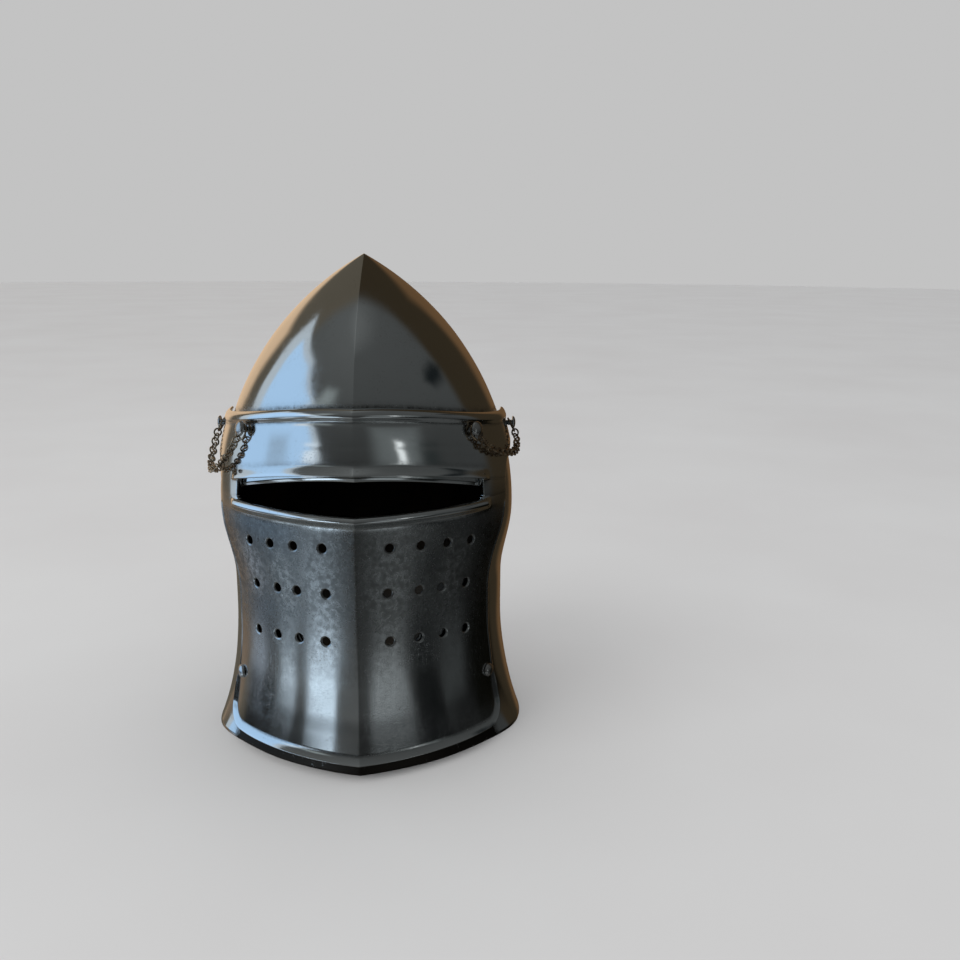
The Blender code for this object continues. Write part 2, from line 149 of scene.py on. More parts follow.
# Each row's distance below the top edge, along the keel, and the rows where an edge or a groove runs.
TRAVEL = np.hypot(np.diff(VISOR_ROWS[:, 0]), np.diff(VISOR_ROWS[:, 2] + VISOR_ROWS[:, 4]))
TRAVEL = np.append(0, np.cumsum(TRAVEL))
BAND_END, PLATE_START = TRAVEL[len(BAND) - 1], TRAVEL[len(BAND) + len(STRIP)]
BEAD, GROOVE, LIP_START, LIP_CREST = 3, 7, 14, 17
RIDGE_CREST, RIDGE_END = len(BAND) + len(STRIP) + 3, len(BAND) + len(STRIP) + 7

# The sine of the angle at which each row has come down to its side height: 90 degrees for the band,
# SIDE_TURN for the plate.
SIDE_TURN = 60
SIDE_SINE = math.sin(math.radians(SIDE_TURN))
FULL_TURN = np.concatenate([np.ones(len(BAND)), (1, 1, 0.95, 0.9), np.full(len(PLATE), SIDE_SINE)])

# The sight slot: the angle of its ends and the most it may take of the way to the side edge, how its
# corners are rounded, how deep and wide its ends are turned in, and where the lips beside it fade out.
EYE_END, EYE_SHARE = 50, 0.8
SLOT_ROUND = 2.4
RETURN_DEPTH, RETURN_WIDTH = 1.7, 1.4
LIP_FROM, LIP_END, LIP_LOSS = 50.5, 54.5, 0.5

# The plate's outline: its round lower corners, the rim turned out along it up to the heights in
# RIM_TOP, and the low bead up its sides.
CORNER_ROUND = 16
RIM_WIDTH, RIM_STAND, RIM_POWER, RIM_LOSS = 4.2, 3.4, 1.35, 0.45
RIM_TOP = (34, 56)
EDGE_STAND, EDGE_IN, EDGE_TOP = 0.4, 1.1, (9, 13)

# Breath holes: each row's height at the keel and the angles of its four holes on each side. A row drops
# with the square of the sine.
HOLE_RADIUS, HOLE_BEVEL, HOLE_ROW_DROP = 3.1, 0.65, 9
HOLE_ROWS = ((151.5, (11.5, 22.5, 32.5, 43)), (122.5, (11.2, 23, 32, 43.8)), (91, (12, 23, 33.2, 44.2)))

# Studs and rivets: the head's radius and height, the shank's radius, how far the head stands off, how
# long the tail is, and for the pins the radius of a collar and how far out it starts.
STUD = dict(head=4.8, rise=3.0, shank=1.9, neck=3.6, tail=1.8)
PIN = dict(head=4.4, rise=2.2, shank=1.6, neck=3.6, tail=9.0, collar=1.9, collar_out=0.65)
RIVET = dict(head=4.4, rise=2.6, shank=1.6, neck=0.3, tail=1.8)
HEAD_RIM = 0.22
STUD_ANGLE, STUD_Z = 49, 218
RIVET_ANGLE, RIVET_Z = 56.5, 49.5
PIN_OUT = 4.5

# The chains' rings: the wire's radius, how much of it the nick takes and how wide that is, and the most
# a ring is out of round.
WIRE, NICK_DEPTH, NICK_WIDTH, OUT_OF_ROUND = 0.58, 0.3, 0.12, 0.035
RING_SIDES, WIRE_SIDES = 28, 10

# The hammer's swells: how many waves are summed and their height, the most swells of a wave round the
# helmet and the most radians it turns in a millimetre up, how far below the point they fade in, and the
# seeds of their draws.
HAMMER_WAVES, HAMMER_HEIGHT, HAMMER_TURNS, HAMMER_CLIMB = 9, 0.045, 13, 0.16
HAMMER_FADE = (4, 60)
VISOR_SEED, SKULL_SEED = 5, 3

# How wide the new cells round a hole are, the flat shoulder round its bevel and how steep the bevel is,
# and the room round a shank in the visor and in the skull.
HOLE_MARGIN, HOLE_SHOULDER, BEVEL_SLOPE = 2.2, 0.15, 0.75
SHANK_PLAY, PIN_PLAY = 0.15, 0.3

# The steps and the radius of a plate's half-round edges, the wall under the peak, how far apart the
# visor's rows may be, and the closer columns beside the keels.
EDGE_STEPS, EDGE_ROUND = 4, 0.3
PEAK_WALL = 2.6
ROW_STEP, SIDE_STEP = 1.7, 2.2
VISOR_KEEL_SHARES = (0, 0.005, 0.012, 0.021, 0.034)
SKULL_KEEL_SHARES = (0, 0.003, 0.008, 0.015, 0.024, 0.036)

# Painted shade: the plate darker by height, painted for its dimmer reflection there, and on the skull a
# painted shadow on what the plate covers in front, blackest at the chin.
UPPER_PLATE_SHADE, UPPER_SHADE_RISE, UPPER_SHADE_TOP = 0.68, (40, 130), (160, 167)
COVERED_SHADE, CHIN_SHADE, CHIN_FADE, COVER_SIDE = 0.45, 2.2, (12, 22), (52, 58)


def smooth(value, low, high):
    """0 below low, 1 above high, and a cubic between."""
    t = np.clip((value - low) / (high - low), 0, 1)
    return t * t * (3 - 2 * t)


def curve(knots, values, at):
    """A cubic through a table's values that never overshoots.

    The slope at each row is the weighted harmonic mean of the slopes beside it, and 0 where they differ
    in sign.
    """
    step = np.diff(knots)
    slope = np.diff(values) / step + 1e-12
    before, after = step[1:] + 2 * step[:-1], 2 * step[1:] + step[:-1]
    mean = (before + after) / (after / slope[:-1] + before / slope[1:])
    tangent = np.concatenate([slope[:1], np.where(slope[:-1] * slope[1:] > 0, mean, 0), slope[-1:]])
    k = np.clip(np.searchsorted(knots, at, side="right") - 1, 0, len(step) - 1)
    t = (at - knots[k]) / step[k]
    start = (2 * t**3 - 3 * t**2 + 1) * values[k] + (t**3 - 2 * t**2 + t) * step[k] * tangent[k]
    return start + (3 * t**2 - 2 * t**3) * values[k + 1] + (t**3 - t**2) * step[k] * tangent[k + 1]


def half_width(z):
    """Half the skull's width: an arc up to the point, a waist, and a flare by the square of the depth."""
    rise = HEIGHT - EAR_Z
    arc = (rise**2 + EAR_HALF**2) / (2 * EAR_HALF)
    above = np.clip(z - EAR_Z, 0, rise)
    dome = EAR_HALF - arc + np.sqrt(arc**2 - above**2)
    flare = FLARE * np.clip(1 - z / FLARE_Z, 0, None) ** 2
    side = WAIST_HALF + flare + (EAR_HALF - WAIST_HALF) * smooth(z, WAIST_Z, EAR_Z)
    return np.where(z > EAR_Z, dome, side)


def front_depth(z):
    """From the axis to the front keel: upright over the face, then over in a power curve to the point."""
    return FRONT_DEPTH * (1 - np.clip((z - BROW_Z) / (HEIGHT - BROW_Z), 0, 1) ** FRONT_POWER)


def back_depth(z):
    """From the axis to the back keel: a power curve at the crown, the nape's hollow, and a square flare."""
    crown = BACK_DEPTH * (1 - np.clip((z - CROWN_BACK_Z) / (HEIGHT - CROWN_BACK_Z), 0, 1) ** BACK_POWER)
    nape = NAPE_DEPTH + (BACK_DEPTH - NAPE_DEPTH) * smooth(z, NAPE_Z, CROWN_BACK_Z)
    nape = nape + NAPE_FLARE * np.clip(1 - z / NAPE_Z, 0, None) ** 2
    return np.where(z > CROWN_BACK_Z, crown, nape)


def wall(z, angle, out=0.0):
    """Points of the skull's outside at heights z and angles, moved outwards by out.

    The plan is half an ellipse to the front and half to the back, each drawn out to a keel by a term
    that falls with the sine; the sine's corner at 0 is rounded off as a hyperbola.
    """
    turn = np.radians(angle)
    ahead = np.cos(turn)
    side = np.sqrt(np.sin(turn) ** 2 + KEEL_ROUND**2) - KEEL_ROUND
    side = side / (math.sqrt(1 + KEEL_ROUND**2) - KEEL_ROUND)
    half = half_width(z) + out
    depth = np.where(ahead >= 0, front_depth(z), back_depth(z)) + out
    keel = half * np.where(ahead >= 0, FRONT_KEEL, BACK_KEEL)
    reach = (depth - keel) * np.abs(ahead) + keel * (1 - side)
    return np.stack(np.broadcast_arrays(half * np.sin(turn), AXIS_Y - np.sign(ahead) * reach, z), axis=-1)


def hammering(z, angle, seed):
    """Low swells that the hammer left: sine waves round and up the helmet, fading out at the point."""
    draw = np.random.default_rng(seed)
    total = np.zeros(np.broadcast(z, angle).shape)
    for _ in range(HAMMER_WAVES):
        turns = draw.integers(-HAMMER_TURNS, HAMMER_TURNS + 1)
        climb = draw.uniform(-HAMMER_CLIMB, HAMMER_CLIMB)
        total = total + np.sin(np.radians(angle) * turns + z * climb + draw.uniform(0, 6.28))
    return HAMMER_HEIGHT * total * smooth(HEIGHT - z, *HAMMER_FADE)


def outward(surface, angle, drop):
    """Unit normals of a surface, from the cross product of its slopes down and round the helmet."""
    nudge = 0.02
    across = surface(angle + nudge, drop) - surface(angle - nudge, drop)
    down = surface(angle, drop + nudge) - surface(angle, drop - nudge)
    normal = np.cross(down, across)
    return normal / np.linalg.norm(normal, axis=-1, keepdims=True)


def slopes_at(surface, angle, drop):
    """How a surface runs at one spot: its change for a degree round and for a step down.

    The columns of the matrix are the two changes, laid along axes that are flat on the surface: the
    first axis along the change round, the second square to it. Their lengths are returned too.
    """
    nudge = 0.1
    angle, drop = np.array([angle]), np.array([drop])
    across = (surface(angle + nudge, drop) - surface(angle - nudge, drop))[0] / (2 * nudge)
    down = (surface(angle, drop + nudge) - surface(angle, drop - nudge))[0] / (2 * nudge)
    first = across / np.linalg.norm(across)
    second = down - first * (down @ first)
    second = second / np.linalg.norm(second)
    slopes = np.array([[across @ first, down @ first], [across @ second, down @ second]])
    return slopes, np.linalg.norm(across), np.linalg.norm(down)


def block_round(angle_lines, drop_lines, angle, drop, wide, tall):
    """The lines of a grid that bound the cells near a spot: top, bottom, left and right."""
    row = np.argmin(np.abs(drop_lines - drop) + np.abs(angle_lines - angle)) // angle_lines.shape[1]
    column = np.argmin(np.abs(angle_lines[row] - angle))
    top, bottom = np.searchsorted(drop_lines[:, column], (drop - tall, drop + tall)) + (-1, 0)
    left, right = np.searchsorted(angle_lines[row], (angle - wide, angle + wide)) + (-1, 0)
    return top, bottom, left, right


def block_border(number, top, bottom, left, right):
    """The corners on a block's border: down its left side, along its bottom, up, and back along its top."""
    downs, rights = np.arange(top, bottom), np.arange(left, right)
    sides = ((downs, np.full(len(downs), left)), (np.full(len(rights), bottom), rights),
             (downs[::-1] + 1, np.full(len(downs), right)), (np.full(len(rights), top), rights[::-1] + 1))
    return np.concatenate([number[lines, places] for lines, places in sides])


def punched(surface, angle_lines, drop_lines, metal, holes):
    """Quads over a grid of angles and drops, with round holes.

    metal says which cells are there. Each hole is an angle, a drop, a radius and a bevel's width. The
    block of cells round it gives way to rings of quads that blend from the block's border to a circle,
    and the last ring is sunk by the bevel. Returns the angle, drop and sinking of every corner, and the
    quads.
    """
    number = np.arange(angle_lines.size).reshape(angle_lines.shape)
    spots, sinks = [np.stack([angle_lines.ravel(), drop_lines.ravel()], axis=-1)], [np.zeros(number.size)]
    quads = []
    metal, count = metal.copy(), number.size
    for angle, drop, radius, bevel in holes:
        centre = np.array([[angle, drop]])
        slopes, degree, step = slopes_at(surface, angle, drop)
        wide, tall = (radius + bevel + HOLE_MARGIN) / np.array([degree, step])
        top, bottom, left, right = block_round(angle_lines, drop_lines, angle, drop, wide, tall)
        metal[top:bottom, left:right] = False
        ring = block_border(number, top, bottom, left, right)
        border = spots[0][ring] - centre
        flat = border @ slopes.T
        compass = np.arctan2(flat[:, 1], flat[:, 0])
        circle = np.linalg.solve(slopes, np.stack([np.cos(compass), np.sin(compass)])).T
        steps = [(blend, radius + bevel + HOLE_SHOULDER, 0) for blend in (0.4, 0.75, 1)]
        steps.append((1, radius + bevel, 0))
        if bevel:
            steps.append((1, radius, bevel * BEVEL_SLOPE))
        for blend, size, sink in steps:
            spots.append(centre + (1 - blend) * border + blend * size * circle)
            sinks.append(np.full(len(ring), float(sink)))
            inner = np.arange(count, count + len(ring))
            quads.append(np.stack([ring, np.roll(ring, -1), np.roll(inner, -1), inner], axis=-1))
            ring, count = inner, count + len(ring)
    cells = [number[:-1, :-1], number[1:, :-1], number[1:, 1:], number[:-1, 1:]]
    quads.append(np.stack([corner[metal] for corner in cells], axis=-1))
    used, quads = np.unique(np.concatenate(quads), return_inverse=True)
    spots, sinks = np.concatenate(spots)[used], np.concatenate(sinks)[used]
    return spots[:, 0], spots[:, 1], sinks, quads.reshape(-1, 4)


def welded(points):
    """One corner for all that lie at one place: the corners kept, and which of them each point is."""
    _, first, same = np.unique(np.round(points, 3), axis=0, return_index=True, return_inverse=True)
    return first, same.ravel()


def open_edges(count, *faces):
    """The starts and ends of the edges that no other face runs along the other way."""
    edges = [np.stack([kind[:, k], kind[:, (k + 1) % kind.shape[1]]], axis=-1)
             for kind in faces for k in range(kind.shape[1])]
    start, end = np.concatenate(edges).T
    is_open = ~np.isin(start * count + end, end * count + start)
    return start[is_open], end[is_open]


def plated(outer, inner, normal, quads, triangles):
    """Closes a sheet into a plate: its outside, its inside, and a half-round edge along every open border.

    For t from 0 to pi, the border's points go from the outside to the inside by half of 1 less the
    cosine of t, and stand proud of the border by EDGE_ROUND times the sine. Returns the points, the
    sheet's corner that each comes from, the quads, the triangles, and 1 for every face of the inside.
    """
    count = len(outer)
    start, end = open_edges(count, quads, triangles)
    away = np.cross(outer[end] - outer[start], normal[start])
    away = away / np.linalg.norm(away, axis=-1, keepdims=True)
    proud = np.zeros_like(outer)
    np.add.at(proud, start, away)
    np.add.at(proud, end, away)
    border, lookup = np.unique(start, return_inverse=True)
    follow = np.searchsorted(border, end)
    proud = proud[border] / np.linalg.norm(proud[border], axis=-1, keepdims=True)
    rings = [border]
    points, origin = [outer, inner], [np.arange(count), np.arange(count)]
    for k in range(1, EDGE_STEPS):
        t = math.pi * k / EDGE_STEPS
        across = outer[border] + (inner[border] - outer[border]) * (1 - math.cos(t)) / 2
        points.append(across + proud * EDGE_ROUND * math.sin(t))
        origin.append(border)
        rings.append(2 * count + (k - 1) * len(border) + np.arange(len(border)))
    rings.append(border + count)
    sides = [np.stack([near[follow], near[lookup], far[lookup], far[follow]], axis=-1)
             for near, far in zip(rings, rings[1:])]
    all_quads = np.concatenate([quads, quads[:, ::-1] + count] + sides)
    all_triangles = np.concatenate([triangles, triangles[:, ::-1] + count])
    inside = np.concatenate([np.zeros(len(quads)), np.ones(len(quads)), np.zeros(sum(map(len, sides))),
                             np.zeros(len(triangles)), np.ones(len(triangles))])
    return np.concatenate(points), np.concatenate(origin), all_quads, all_triangles, inside.astype(int)


def visor_height(angle, travel):
    """Height of the visor's surface, which dips from the keel to the side with the square of the sine.

    Returns the share of the dip too.
    """
    columns = VISOR_ROWS[:, 0], VISOR_ROWS[:, 1], FULL_TURN
    keel, side, full = (curve(TRAVEL, column, travel) for column in columns)
    blend = (np.sin(np.radians(angle)) / full) ** 2
    return keel + (side - keel) * blend, blend


def side_edge(travel):
    """The angle of the visor's side edge, before its lower corner is rounded."""
    return curve(TRAVEL, VISOR_ROWS[:, 5], travel)


def corner_inset(travel):
    """How many degrees a circle takes off the side edge near the bottom, for the rounded lower corners."""
    climb = np.clip(CORNER_ROUND - (TRAVEL[-1] - travel), 0, CORNER_ROUND)
    return (CORNER_ROUND - np.sqrt(CORNER_ROUND**2 - climb**2)) / MM_PER_DEGREE


def to_edge(angle, travel):
    """Distance to the side edge and to the whole outline, a box with its lower corners rounded."""
    side = (side_edge(travel) - np.abs(angle)) * MM_PER_DEGREE
    bottom = TRAVEL[-1] - travel
    rounded = CORNER_ROUND - np.hypot(CORNER_ROUND - side, CORNER_ROUND - bottom)
    near_corner = (side < CORNER_ROUND) & (bottom < CORNER_ROUND)
    return side, np.where(near_corner, rounded, np.minimum(side, bottom))


def bump_across(distance, middle, width):
    """A bell across a line: the exponential of minus the square of the distance over the width."""
    return np.exp(-(((distance - middle) / width) ** 2))


def visor_wall(angle, travel):
    """The visor's outside: the skull's wall moved out by the rows' table, then the raised edges.

    The lips beside the sight slot sink by LIP_LOSS from the keel to the slot's end, with the square of
    the sine, and fade out behind it. The lower rim turns out as a power of how far a point is inside
    RIM_WIDTH, less by RIM_LOSS at the sides than at the keel, and fades out up the sides. Above it the
    side edges have a low bell as a bead.
    """
    z, blend = visor_height(angle, travel)
    keel, side, lip = (curve(TRAVEL, VISOR_ROWS[:, k], travel) for k in (2, 3, 4))
    turn = (np.sin(np.radians(angle)) / math.sin(math.radians(EYE_END))) ** 2
    beside_slot = 1 - smooth(np.abs(angle), LIP_FROM, LIP_END)
    out = keel + (side - keel) * blend + lip * (1 - LIP_LOSS * turn) * beside_slot
    to_side, to_outline = to_edge(angle, travel)
    rim = np.clip(1 - to_outline / RIM_WIDTH, 0, 1) ** RIM_POWER * (1 - RIM_LOSS * blend)
    out = out + RIM_STAND * rim * (1 - smooth(z, *RIM_TOP))
    on_plate = smooth(travel - PLATE_START, *EDGE_TOP) * smooth(z, *RIM_TOP)
    out = out + EDGE_STAND * bump_across(to_side, EDGE_IN, 1.0) * on_plate
    return wall(z, angle, out + hammering(z, angle, VISOR_SEED))


def visor_place(z, angle):
    """The travel at which the visor's surface has a height, at an angle."""
    travels = np.linspace(0, TRAVEL[-1], 2000)
    return np.interp(-z, -visor_height(np.full(2000, float(angle)), travels)[0], travels)


def on_visor(z, angle):
    """A point of the visor's outside and the normal there."""
    spot = np.array([float(angle)]), np.array([visor_place(z, angle)])
    return visor_wall(*spot)[0], outward(visor_wall, *spot)[0]


def fade_from(distance, width):
    """1 at an edge, falling off as the exponential of minus the distance over the width."""
    return np.exp(-np.clip(distance, 0, None) / width)


def visor_rows():
    """The travel of each row of the visor's corners.

    Rows are at most ROW_STEP apart, and so close that the side edge moves by no more than SIDE_STEP
    between them. In the rounded lower corners they are at equal turns of the corner's circle.
    """
    steps = np.abs(np.diff(VISOR_ROWS[:, 5])) * MM_PER_DEGREE / SIDE_STEP
    steps = np.maximum(np.diff(TRAVEL) / ROW_STEP, steps)
    gaps = [np.linspace(start, end, max(2, math.ceil(count)), endpoint=False)
            for start, end, count in zip(TRAVEL, TRAVEL[1:], steps)]
    rows = np.concatenate(gaps)
    rows = rows[rows < TRAVEL[-1] - CORNER_ROUND]
    bend = np.radians(np.linspace(90, 0, 15))
    return np.concatenate([rows, TRAVEL[-1] - CORNER_ROUND * (1 - np.cos(bend))])


def visor_grid():
    """The visor's cells: the angle and travel of every corner, and which cells are metal.

    Columns are shares of the way from the keel: up to 1 they reach the sight slot's end, which is a
    circle in the slot's corners, and from there up to 2 the side edge.
    """
    half = np.concatenate([VISOR_KEEL_SHARES, np.linspace(0.053, 1, 54), np.linspace(1, 2, 46)[1:]])
    share, travel = np.meshgrid(np.concatenate([-half[:0:-1], half]), visor_rows())
    size = np.abs(share)
    from_corner = np.minimum(travel - BAND_END, PLATE_START - travel) - 1
    into_slot = np.clip(SLOT_ROUND - from_corner, 0, SLOT_ROUND)
    in_strip = (travel > BAND_END) & (travel < PLATE_START)
    rounding = np.where(in_strip, SLOT_ROUND - np.sqrt(SLOT_ROUND**2 - into_slot**2), 0) / MM_PER_DEGREE
    end = side_edge(travel) - corner_inset(travel)
    eye = np.minimum(EYE_END - rounding, EYE_SHARE * end)
    angle = np.sign(share) * np.where(size <= 1, size * eye, eye + (size - 1) * (end - eye))
    middle = (np.abs(share[:-1, 1:]) + np.abs(share[:-1, :-1])) / 2
    row_middle = (travel[:-1, 1:] + travel[1:, 1:]) / 2
    return angle, travel, (middle > 1) | (row_middle < BAND_END) | (row_middle > PLATE_START)


def visor_holes():
    """Angle, travel, radius and bevel of every hole: for breath, and for the studs, pins and rivets."""
    holes = []
    for sign in (-1, 1):
        for keel_z, turns in HOLE_ROWS:
            for turn in turns:
                z = keel_z - HOLE_ROW_DROP * math.sin(math.radians(turn)) ** 2
                holes.append((sign * turn, visor_place(z, turn), HOLE_RADIUS, HOLE_BEVEL))
        for turn, z, kind in ((STUD_ANGLE, STUD_Z, STUD), (90, PIVOT_Z, PIN), (RIVET_ANGLE, RIVET_Z, RIVET)):
            holes.append((sign * turn, visor_place(z, turn), kind["shank"] + SHANK_PLAY, 0))
    return holes


def visor_marks(angle, travel):
    """Where painted shade and rubbed brightness with a painted sheen lie on the visor.

    Painted shade is a bell across each groove, along the top edge where the visor meets the skull, and just
    inside the rim, and a darkening over the plate that thickens upwards, painted for its dimmer reflection
    there. The rubbed brightness, partly a painted sheen, is a bell across each crest, and falls off from
    the outline.
    """
    def line(row, width, share=1.0):
        return share * bump_across(travel, TRAVEL[row], width)

    z = visor_height(angle, travel)[0]
    before_side = 1 - smooth(np.abs(angle), LIP_FROM, LIP_END + 2)
    # Painted shade in the grooves and along the top edge, where the visor meets the skull.
    grooves = line(GROOVE, 0.8) + line(0, 0.7, 0.5)
    grooves = grooves + before_side * (line(LIP_START, 1.6, 0.45) + line(RIDGE_END, 1.1, 0.7))
    outline = to_edge(angle, travel)[1]
    # Painted shade in the crease just inside the turned-out rim.
    inner_rim = bump_across(outline, RIM_WIDTH + 0.3, 0.7) * (1 - smooth(z, *RIM_TOP))
    # Painted shade: the plate darker upwards, for its dimmer reflection there.
    upper_shade = smooth(z, *UPPER_SHADE_RISE) * (1 - smooth(z, *UPPER_SHADE_TOP))
    # Rubbed bright along the crests and the outline, partly a painted sheen.
    crests = line(BEAD, 1.2) + before_side * (line(LIP_CREST, 1.2) + line(RIDGE_CREST, 1.4))
    return 0.5 * grooves + 0.4 * inner_rim + UPPER_PLATE_SHADE * upper_shade, crests + fade_from(outline, 1.0)


def visor_plate():
    """The whole visor as one plate with its holes, thicker at the slot's ends, where it is turned in."""
    angle, travel, sink, quads = punched(visor_wall, *visor_grid(), visor_holes())
    normal = outward(visor_wall, angle, travel)
    outer = visor_wall(angle, travel)
    to_slot = np.clip(1 - (np.abs(angle) - EYE_END) * MM_PER_DEGREE / RETURN_WIDTH, 0, 1)
    beside_slot = (travel > BAND_END) & (travel < PLATE_START) & (np.abs(angle) > EYE_END - 3)
    thick = WALL + RETURN_DEPTH * to_slot * beside_slot
    inner = outer - normal * thick[:, None]
    outer = outer - normal * sink[:, None]
    plate = plated(outer, inner, normal, quads, np.zeros((0, 3), int))
    return plate, *visor_marks(angle, travel)


def from_face(angle):
    """How far an angle is from the front keel, the shorter way round."""
    return np.abs((angle + 180) % 360 - 180)


def skull_wall(angle, drop):
    """The skull's outside by the drop below the peak: the wall, with a lobe low at each side.

    A lobe is a bell round the helmet, and grows downwards with the square of the depth below LOBE_Z.
    """
    z = HEIGHT - drop
    lobe = LOBE * bump_across(from_face(angle), LOBE_ANGLE, LOBE_SPREAD) * np.clip(1 - z / LOBE_Z, 0, 1) ** 2
    return wall(z, angle, lobe + hammering(z, angle, SKULL_SEED))


def cheek_angle(z):
    """The angle of the face opening's edge at a height, from its half width there."""
    half = curve(CHEEK_EDGE[:, 0], CHEEK_EDGE[:, 1], z)
    return np.degrees(np.arcsin(half / half_width(z)))


def skull_grids():
    """The skull's three grids, which share their border rows, each as angles, drops and holes.

    Above the brow's corners rows run from the peak, where they are closest, down to the brow's edge. It
    dips with the square of the sine, and a 12th power rounds its ends. Beside the face rows run from one
    cheek's edge round the back to the other's, and under the chin all round.
    """
    corner = cheek_angle(np.float64(CORNER_Z))
    round_back = np.concatenate([np.linspace(0, 0.478, 88), (0.485, 0.49, 0.494, 0.497, 0.4985, 0.5)])
    round_back = np.concatenate([round_back, 1 - round_back[-2::-1]])
    across = np.concatenate([SKULL_KEEL_SHARES, np.linspace(0.055, 0.94, 36), (0.96, 0.98, 0.993, 1)])
    across = np.concatenate([-across[:0:-1], across])
    angles = np.concatenate([corner * across, (corner + round_back * (360 - 2 * corner))[1:]])
    brow = BROW_Z_KEEL - BROW_DIP * np.sin(np.radians(angles)) ** 2 - CORNER_Z
    inside_brow = np.clip(1 - (np.abs(angles) / corner) ** 12, 0, 1)
    bottom = np.where(np.abs(angles) < corner, CORNER_Z + brow * np.sqrt(inside_brow), CORNER_Z)
    shares = np.linspace(0.02, 1, 74)
    drops = shares[:, None] ** 1.3 * (HEIGHT - bottom)
    pins = [(turn, HEIGHT - PIVOT_Z, PIN["shank"] + PIN_PLAY, 0) for turn in (90, 270)]
    heights = np.linspace(CORNER_Z, CHIN_Z, 64)[:, None]
    edge = cheek_angle(heights)
    cheeks = edge + round_back * (360 - 2 * edge)
    chin = np.concatenate([edge[-1] * np.linspace(-1, 1, 9), cheeks[-1, 1:]])
    chin_drops = np.linspace(HEIGHT - CHIN_Z, HEIGHT - EDGE_ROUND, 9)[:, None]
    return (angles, drops, pins), (cheeks, HEIGHT - heights, []), (chin, chin_drops, [])


def skull_marks(angle, drop):
    """Where painted shadow, darkening and a painted sheen lie on the skull.

    Painted shadow falls off from the band's top edge, where the visor meets the skull, and lies on what
    the visor's plate covers. The skull is also darker up from the bottom. The rubbed brightness, partly a
    painted sheen, falls off up from the bottom.
    """
    z = HEIGHT - drop
    front = from_face(angle)
    band_top = VISOR_ROWS[0, 0] + (VISOR_ROWS[0, 1] - VISOR_ROWS[0, 0]) * np.sin(np.radians(front)) ** 2
    beside_band = (front < side_edge(0.0) + 1.5) & (z > CORNER_Z)
    # Painted shadow along the band's top edge, where the visor meets the skull.
    seam = fade_from(np.where(beside_band, np.abs(z - band_top), np.inf), 1.2)
    # Painted shadow over what the visor's plate covers, blackest at the chin.
    covered = (1 - smooth(front, *COVER_SIDE)) * (1 - smooth(z, CORNER_Z, CORNER_Z + 4))
    covered = covered * (CHIN_SHADE + (COVERED_SHADE - CHIN_SHADE) * smooth(z, *CHIN_FADE))
    # Darker along the bottom edge, and rubbed bright there, partly a painted sheen.
    return 0.9 * seam + 0.25 * fade_from(z, 2.5) + covered, fade_from(z, 1.4)


def skull_shell():
    """The one-piece skull: its three grids welded into one sheet, closed at the peak by a fan."""
    grids = skull_grids()
    around = grids[0][0].size - 1
    patches, count = [], 0
    for angle_lines, drop_lines, holes in grids:
        angle_lines, drop_lines = np.broadcast_arrays(angle_lines, drop_lines)
        metal = np.ones((angle_lines.shape[0] - 1, angle_lines.shape[1] - 1), bool)
        angle, drop, _, quads = punched(skull_wall, angle_lines, drop_lines, metal, holes)
        patches.append((angle, drop, quads + count))
        count += len(angle)
    angle, drop, quads = (np.concatenate(parts) for parts in zip(*patches))
    first, same = welded(skull_wall(angle, drop))
    quads, top = same[quads], same[:around]
    angle, drop = angle[first], drop[first]
    normal = outward(skull_wall, angle, drop)
    outer = skull_wall(angle, drop)
    inner = outer - WALL * normal
    inner[:, 2] = np.where(drop > HEIGHT - EDGE_ROUND - 0.001, EDGE_ROUND, inner[:, 2])
    peak = len(outer)
    fan = np.stack([np.full(len(top), peak), top, np.roll(top, -1)], axis=-1)
    outer = np.vstack([outer, (0, AXIS_Y, HEIGHT)])
    inner = np.vstack([inner, (0, AXIS_Y, HEIGHT - PEAK_WALL)])
    normal = np.vstack([normal, (0, 0, 1)])
    return plated(outer, inner, normal, quads, fan), *skull_marks(np.append(angle, 0), np.append(drop, 0))


def revolved(profile, centre, normal, sides=48):
    """A closed turned shape: radii and heights swept round the normal, with a pole at each end."""
    across = np.cross((0.0, 0.0, 1.0), normal)
    across = across / np.linalg.norm(across)
    turns = np.linspace(0, 2 * math.pi, sides, endpoint=False)
    rim = np.cos(turns)[:, None] * across + np.sin(turns)[:, None] * np.cross(normal, across)
    radius, height = np.array(profile).T
    rings = centre + radius[1:-1, None, None] * rim + height[1:-1, None, None] * normal
    poles = [centre + height[0] * normal, centre + height[-1] * normal]
    points = np.concatenate([rings.reshape(-1, 3), poles])
    number = np.arange(len(rings) * sides).reshape(-1, sides)
    after = np.roll(number, -1, axis=1)
    quads = np.stack([number[:-1], after[:-1], after[1:], number[1:]], axis=-1).reshape(-1, 4)
    low, high = np.full(sides, len(points) - 2), np.full(sides, len(points) - 1)
    fans = [np.stack([low, after[0], number[0]], axis=-1), np.stack([high, number[-1], after[-1]], axis=-1)]
    return points, quads, np.concatenate(fans)


def head_profile(kind):
    """From the tail to the crown: a bevelled tail, the shank, a flat underside, a rim and a dome.

    The dome is a quarter of an ellipse from HEAD_RIM of the head's height to the top.
    """
    dome = np.radians(np.linspace(0, 90, 11))
    height = HEAD_RIM * kind["rise"] + (1 - HEAD_RIM) * kind["rise"] * np.sin(dome)
    tail = [(0, -kind["tail"]), (kind["shank"] * 0.8, -kind["tail"]), (kind["shank"], 0.3 - kind["tail"])]
    neck = kind.get("collar", kind["shank"])
    if neck > kind["shank"]:
        tail += [(kind["shank"], kind["collar_out"]), (neck, kind["collar_out"])]
    under = [(neck, kind["neck"] - 0.2), (neck + 0.2, kind["neck"]),
             (kind["head"] - 0.25, kind["neck"]), (kind["head"], kind["neck"] + 0.25)]
    crown = [(kind["head"] * math.cos(a), kind["neck"] + h) for a, h in zip(dome, height)]
    return tail + under + crown[:-1] + [(0, crown[-1][1])]


